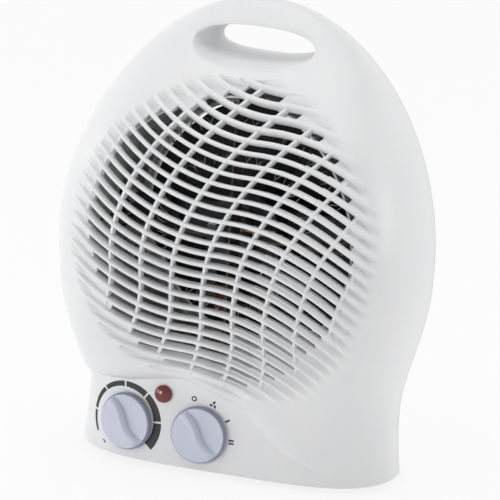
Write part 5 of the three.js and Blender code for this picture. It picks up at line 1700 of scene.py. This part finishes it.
WHITE = Finish(
    "moulded_white", linear(241, 241, 242), linear(237, 238, 239), scale=35.0,
    rough_low=0.3, rough_high=0.36, grain=1500.0, bump=0.03,
)
KNOB = Finish(
    "lavender_knob", linear(212, 216, 232), linear(206, 210, 226), scale=80.0,
    rough_low=0.34, rough_high=0.42, grain=2200.0, bump=0.04,
)
# Darker lavender of the knob skirts: painted shade along each knob's edge.
SHADED_SKIRT = Finish(
    "lavender_skirt_painted_shade", linear(150, 155, 176), linear(140, 145, 166), scale=90.0,
    rough_low=0.35, rough_high=0.45,
)
LENS = Finish(
    "red_lens", linear(132, 9, 18), linear(104, 4, 11), scale=160.0,
    rough_low=0.12, rough_high=0.18, bump=0.01, coat=0.6, transmission=0.15,
)
INK = Finish(
    "black_ink", linear(30, 31, 34), linear(24, 25, 28), scale=300.0, rough_low=0.42, rough_high=0.5,
)
DARK = Finish(
    "black_moulding", linear(26, 26, 28), linear(18, 18, 20), scale=120.0,
    rough_low=0.45, rough_high=0.6, grain=1400.0, bump=0.08,
)
CREAM = Finish(
    "cream_moulding", linear(226, 218, 198), linear(214, 206, 185), scale=90.0,
    rough_low=0.4, rough_high=0.5,
)
# Galvanised speckle lightened to near white with little metal: painted light on the duct walls inside the
# heater.
LIGHTENED_GALVANISED = Finish(
    "galvanised_sheet_painted_light", linear(244, 245, 246), linear(234, 235, 237), Pattern.SPECKLE, scale=140.0,
    rough_low=0.34, rough_high=0.5, grain=700.0, bump=0.06, metallic=0.1,
)
# Motor steel: its own grey, darkened further as painted shade deep inside the heater.
SHADED_LAMINATION = Finish(
    "dark_steel_and_painted_shade", linear(70, 71, 74), linear(52, 53, 56), Pattern.STREAK, scale=200.0,
    rough_low=0.45, rough_high=0.6, metallic=0.6,
)
BRIGHT = Finish(
    "plated_steel", linear(206, 207, 210), linear(182, 184, 188), Pattern.STREAK, scale=260.0,
    rough_low=0.22, rough_high=0.34, metallic=1.0,
)
RESISTANCE = Finish(
    "heating_alloy", linear(176, 175, 172), linear(140, 138, 135), Pattern.SPECKLE, scale=400.0,
    rough_low=0.28, metallic=1.0,
)
# Mica boards: their own dark brown, darkened further as painted shade inside the duct.
SHADED_MICA = Finish(
    "mica_board_and_painted_shade", linear(92, 84, 68), linear(66, 60, 49), Pattern.SPECKLE, scale=260.0,
    rough_low=0.35, rough_high=0.55, bump=0.12,
)
# Copper winding darkened well below its own colour, as painted shade deep inside the heater.
SHADED_COPPER = Finish(
    "copper_and_painted_shade", linear(74, 46, 34), linear(56, 34, 26), Pattern.STREAK, scale=420.0,
    metallic=0.9, grain=1600.0, bump=0.2,
)
BRONZE = Finish(
    "sintered_bronze", linear(150, 108, 66), linear(124, 88, 54), Pattern.SPECKLE, scale=600.0,
    rough_low=0.4, rough_high=0.55, metallic=0.9, bump=0.15,
)
RUBBER = Finish(
    "black_rubber", linear(34, 34, 35), linear(27, 27, 28), scale=220.0,
    rough_low=0.7, rough_high=0.85, bump=0.1,
)
NEON = Finish(
    "neon_glass", linear(236, 190, 160), linear(226, 170, 138), scale=200.0,
    rough_low=0.06, rough_high=0.12, transmission=0.7,
)


def named(stem: str, *ends: str) -> tuple[str, ...]:
    """Names that share a stem."""
    return tuple(f"{stem}_{end}" for end in ends)


SIDES = ("left", "right")
CORNERS = ("lower_left", "lower_right", "upper_left", "upper_right")
NODE_FINISHES: tuple[tuple[Finish, tuple[str, ...]], ...] = (
    (BRIGHT, (
        *named("bracket_screw", *SIDES), *named("motor_screw", *SIDES), *named("selector_screw", *SIDES),
        *named("thermostat_screw", *SIDES), *named("duct_screw", *CORNERS),
        *named("housing_screw", "base", *CORNERS), "fan_clip", "motor_shaft", "selector_spindle",
        "thermostat_spindle",
    )),
    (SHADED_LAMINATION, ("bearing_bridge", "motor_bracket", "motor_rotor", "stator_core")),
    (BRONZE, ("bearing_front", "bearing_rear")),
    (SHADED_COPPER, ("motor_coil",)),
    (LIGHTENED_GALVANISED, ("element_duct", "lamp_clip")),
    (SHADED_MICA, ("mica_cross_level", "mica_cross_upright")),
    (DARK, ("cord_inlet_bush", "selector_body", "thermal_cutout")),
    (CREAM, ("terminal_block", "thermal_fuse", "thermostat_body")),
    (RUBBER, (*named("foot_front", *SIDES), *named("foot_rear", *SIDES))),
    (NEON, ("neon_lamp",)),
)


class Palette:
    """Makes each finish once and puts it on pieces."""

    def __init__(self) -> None:
        """Starts with no finish made."""
        self.made: dict[str, bpy.types.Material] = {}

    def dress(self, piece: bpy.types.Object, finish: Finish) -> None:
        """Gives a piece one finish, in place of any that it has.

        Args:
            piece: The object to dress.
            finish: Its finish.
        """
        if finish.name not in self.made:
            self.made[finish.name] = finish.build()
        piece.data.materials.clear()
        piece.data.materials.append(self.made[finish.name])


@dataclass(frozen=True)
class Lamp:
    """A square soft light: where it stands, its side in metres and its power in watts."""

    name: str
    place: tuple[float, float, float]
    size: float
    power: float

    def build(self, aim: Vector) -> None:
        """Adds the light and points it at its aim."""
        data = bpy.data.lights.new(self.name, "AREA")
        data.size = self.size
        data.energy = self.power
        lamp = add_object(self.name, data)
        place = Vector(self.place)
        turn = (aim - place).to_track_quat("-Z", "Y").to_matrix().to_4x4()
        lamp.matrix_world = Matrix.Translation(place) @ turn


@dataclass(frozen=True)
class Studio:
    """Camera at the photograph's angle, pale floor, soft light and a pale background."""

    distance: float = 2.2778
    shift_right: float = 0.004505
    shift_up: float = 0.11316
    lens: float = 295.2
    back: tuple[float, float, float] = (0.34056, -0.86687, 0.36407)
    right: tuple[float, float, float] = (0.93075, 0.36566, 0.0)
    up: tuple[float, float, float] = (-0.13313, 0.33886, 0.93137)
    origin: tuple[float, float, float] = (-0.0000019, -0.0053076, 0.0)
    world_level: float = 0.6
    world_slope: float = 0.4
    backdrop_tone: float = 0.8
    floor_tone: float = 0.9
    floor_roughness: float = 0.9
    floor_share: float = 0.16
    floor_side: float = 6.0
    aim: tuple[float, float, float] = (0.0, 0.0, 0.12)
    lamps: tuple[Lamp, ...] = (
        Lamp("low_front_light", (-1.2, -2.1, 0.25), 0.7, 10.8),
        Lamp("low_left_light", (-1.8, -1.3, 0.3), 0.8, 5.9),
        Lamp("left_light", (-2.3, -0.3, 0.8), 1.0, 4.4),
        Lamp("side_light", (2.2, 0.1, 0.6), 1.0, 8.0),
        Lamp("top_light", (-0.2, -0.2, 2.3), 1.6, 14.4),
    )

    def camera(self) -> None:
        """Places the camera and makes it the scene's."""
        data = bpy.data.cameras.new("photograph_camera")
        data.lens = self.lens
        data.sensor_width = 36.0
        data.clip_end = 100.0
        camera = add_object("photograph_camera", data)
        right, up, back = Vector(self.right), Vector(self.up), Vector(self.back)
        place = back * self.distance + right * self.shift_right + up * self.shift_up + Vector(self.origin)
        turn = Matrix((right, up, back)).transposed().to_4x4()
        camera.matrix_world = Matrix.Translation(place) @ turn
        bpy.context.scene.camera = camera

    def seen(self, tree: bpy.types.NodeTree) -> bpy.types.NodeSocket:
        """Share that is one for rays of the camera, of reflections and of clear things."""
        path = add_node(tree, "LightPath").outputs
        either = add_node(tree, "Math", {0: path["Is Camera Ray"], 1: path["Is Glossy Ray"]}, "MAXIMUM")
        any_ray = {0: either.outputs[0], 1: path["Is Transmission Ray"]}
        return add_node(tree, "Math", any_ray, "MAXIMUM").outputs[0]

    def world(self) -> None:
        """Pale background where seen; the light on the heater grows evenly from the front to the back."""
        world = bpy.data.worlds.new("studio_world")
        world.use_nodes = True
        tree = world.node_tree
        place = add_node(tree, "TexCoord").outputs["Generated"]
        slope = add_node(tree, "VectorMath", {0: place, 1: (0.0, self.world_slope, 0.0)}, "DOT_PRODUCT")
        level = add_node(tree, "Math", {0: slope.outputs["Value"], 1: self.world_level}, "ADD")
        light = {"Color": (1.0, 1.0, 1.0, 1.0), "Strength": level.outputs[0]}
        ground = feed(tree, tree.nodes["Background"], light)
        tone = (self.backdrop_tone, self.backdrop_tone, self.backdrop_tone, 1.0)
        backdrop = add_node(tree, "Background", {"Color": tone, "Strength": 1.0})
        parts = {0: self.seen(tree), 1: ground.outputs[0], 2: backdrop.outputs[0]}
        mix = add_node(tree, "MixShader", parts)
        feed(tree, tree.nodes["World Output"], {"Surface": mix.outputs[0]})
        bpy.context.scene.world = world

    def floor(self) -> None:
        """Wide pale floor: plain for light that bounces, nearly white with a faint shadow where seen."""
        side = self.floor_side
        mesh = bpy.data.meshes.new("studio_floor")
        corners = [(-side, -side, 0.0), (side, -side, 0.0), (side, side, 0.0), (-side, side, 0.0)]
        mesh.from_pydata(corners, [], [(0, 1, 2, 3)])
        material = bpy.data.materials.new("studio_floor")
        material.use_nodes = True
        tree = material.node_tree
        tone = (self.floor_tone, self.floor_tone, self.floor_tone, 1.0)
        matt = {"Base Color": tone, "Roughness": self.floor_roughness}
        plain = feed(tree, tree.nodes["Principled BSDF"], matt).outputs[0]
        glow = add_node(tree, "Emission", {"Strength": 1.0}).outputs[0]
        pale = add_node(tree, "MixShader", {0: 1.0 - self.floor_share, 1: plain, 2: glow}).outputs[0]
        mix = add_node(tree, "MixShader", {0: self.seen(tree), 1: plain, 2: pale}).outputs[0]
        feed(tree, tree.nodes["Material Output"], {"Surface": mix})
        mesh.materials.append(material)
        add_object("studio_floor", mesh)

    def build(self) -> None:
        """Sets up camera, world, floor and lights."""
        bpy.context.scene.view_settings.view_transform = "Standard"
        self.camera()
        self.world()
        self.floor()
        for lamp in self.lamps:
            lamp.build(Vector(self.aim))


@dataclass
class Heater:
    """The whole heater: builds each sub-assembly, dresses it and sets it on its body."""

    palette: Palette = field(default_factory=Palette)
    knob_bore: float = 5.2
    lamp_bore: float = 4.2
    intake_bore: float = 72.9
    inlet_bore: float = 5.45
    inlet_height: float = 22.7
    screw_bore: float = 3.65
    screw_shares: tuple[tuple[float, float], ...] = (
        (0.73, 0.2), (-0.73, 0.2), (0.67, 0.79), (-0.67, 0.79), (0.37, 0.06),
    )

    def place(
        self, piece: bpy.types.Object, body: Body, slot: Slot, finish: Finish, *nodes: str
    ) -> None:
        """Dresses a piece, sets it on a body and hides the nodes that it stands for.

        Args:
            piece: The new object.
            body: CAD body that it rides on.
            slot: Material slot of the record; not used.
            finish: Finish of the piece.
            nodes: CAD nodes that it replaces.
        """
        self.palette.dress(piece, finish)
        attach(piece, body.value)
        if nodes:
            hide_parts(*nodes)

    def housing(self) -> None:
        """Builds the louvred front, the rear shell and the intake grille."""
        hubs = tuple(Hole(*at, self.knob_bore) for at in (THERMOSTAT_AT, SELECTOR_AT))
        holes = (*hubs, Hole(*LAMP_AT, self.lamp_bore, 28))
        front = LouvredFront("louvred_front", -1.0, FORM.front_y, holes=holes).build()
        self.place(front, Body.HEATER, Slot.WHITE, WHITE, "front_housing", "front_grille")
        width, height = FORM.half_width_most, FORM.height
        bores = tuple(Hole(x * width, z * height, self.screw_bore, 24) for x, z in self.screw_shares)
        intake = Hole(0.0, FORM.fan_height, self.intake_bore, 160)
        holes = (intake, Hole(0.0, self.inlet_height, self.inlet_bore, 32), *bores)
        rear = RearShell("rear_shell", 1.0, FORM.rear_y, holes=holes, inner_share=0.955).build()
        self.place(rear, Body.HEATER, Slot.WHITE, WHITE, "rear_housing")
        self.place(IntakeGrille().build(), Body.HEATER, Slot.WHITE, WHITE, "rear_grille")

    def controls(self) -> None:
        """Builds both knobs, the lamp's lens and the printed marks."""
        warm = Knob("thermostat_dial", "thermostat_knob", Body.THERMOSTAT, THERMOSTAT_AT, -33.501, -10.026)
        mode = Knob("selector_dial", "selector_knob", Body.SELECTOR, SELECTOR_AT, -35.796, -0.081)
        for knob in (warm, mode):
            self.place(knob.build(), knob.body, Slot.KNOB, KNOB, knob.node)
            # The skirt's darker finish is painted shade round the dial.
            self.place(knob.skirt_ring(), knob.body, Slot.KNOB, SHADED_SKIRT)
        self.place(SignalLamp().build(), Body.HEATER, Slot.LENS, LENS, "lamp_lens")
        self.place(PanelMarks().build(), Body.HEATER, Slot.DARK, INK)

    def inside(self) -> None:
        """Builds the two coiled heating wires and the fan."""
        for wire in (
            HeatingWire("outer_element_coil", "heating_wire_outer", 62.0, 62),
            HeatingWire("inner_element_coil", "heating_wire_inner", 42.0, 42),
        ):
            self.place(wire.build(), Body.HEATER, Slot.BRIGHT, RESISTANCE, wire.node)
        # The impeller's black is its moulding's colour and also painted shade deep in the duct.
        self.place(Impeller().build(), Body.FAN, Slot.DARK, DARK, "fan_impeller")

    def carried_nodes(self, nodes: dict[str, bpy.types.Object]) -> None:
        """Gives each CAD node that stays its own finish."""
        for finish, names in NODE_FINISHES:
            for name in names:
                self.palette.dress(nodes[name], finish)
            LOG.info("%s: %s", finish.name, ", ".join(names))


def main() -> None:
    """Builds the studio and the heater's pieces."""
    logging.basicConfig(level=logging.INFO, format="%(name)s: %(message)s")
    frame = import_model()
    Studio().build()
    heater = Heater()
    heater.carried_nodes(frame["nodes"])
    heater.housing()
    heater.controls()
    heater.inside()


if __name__ == "__main__":
    main()
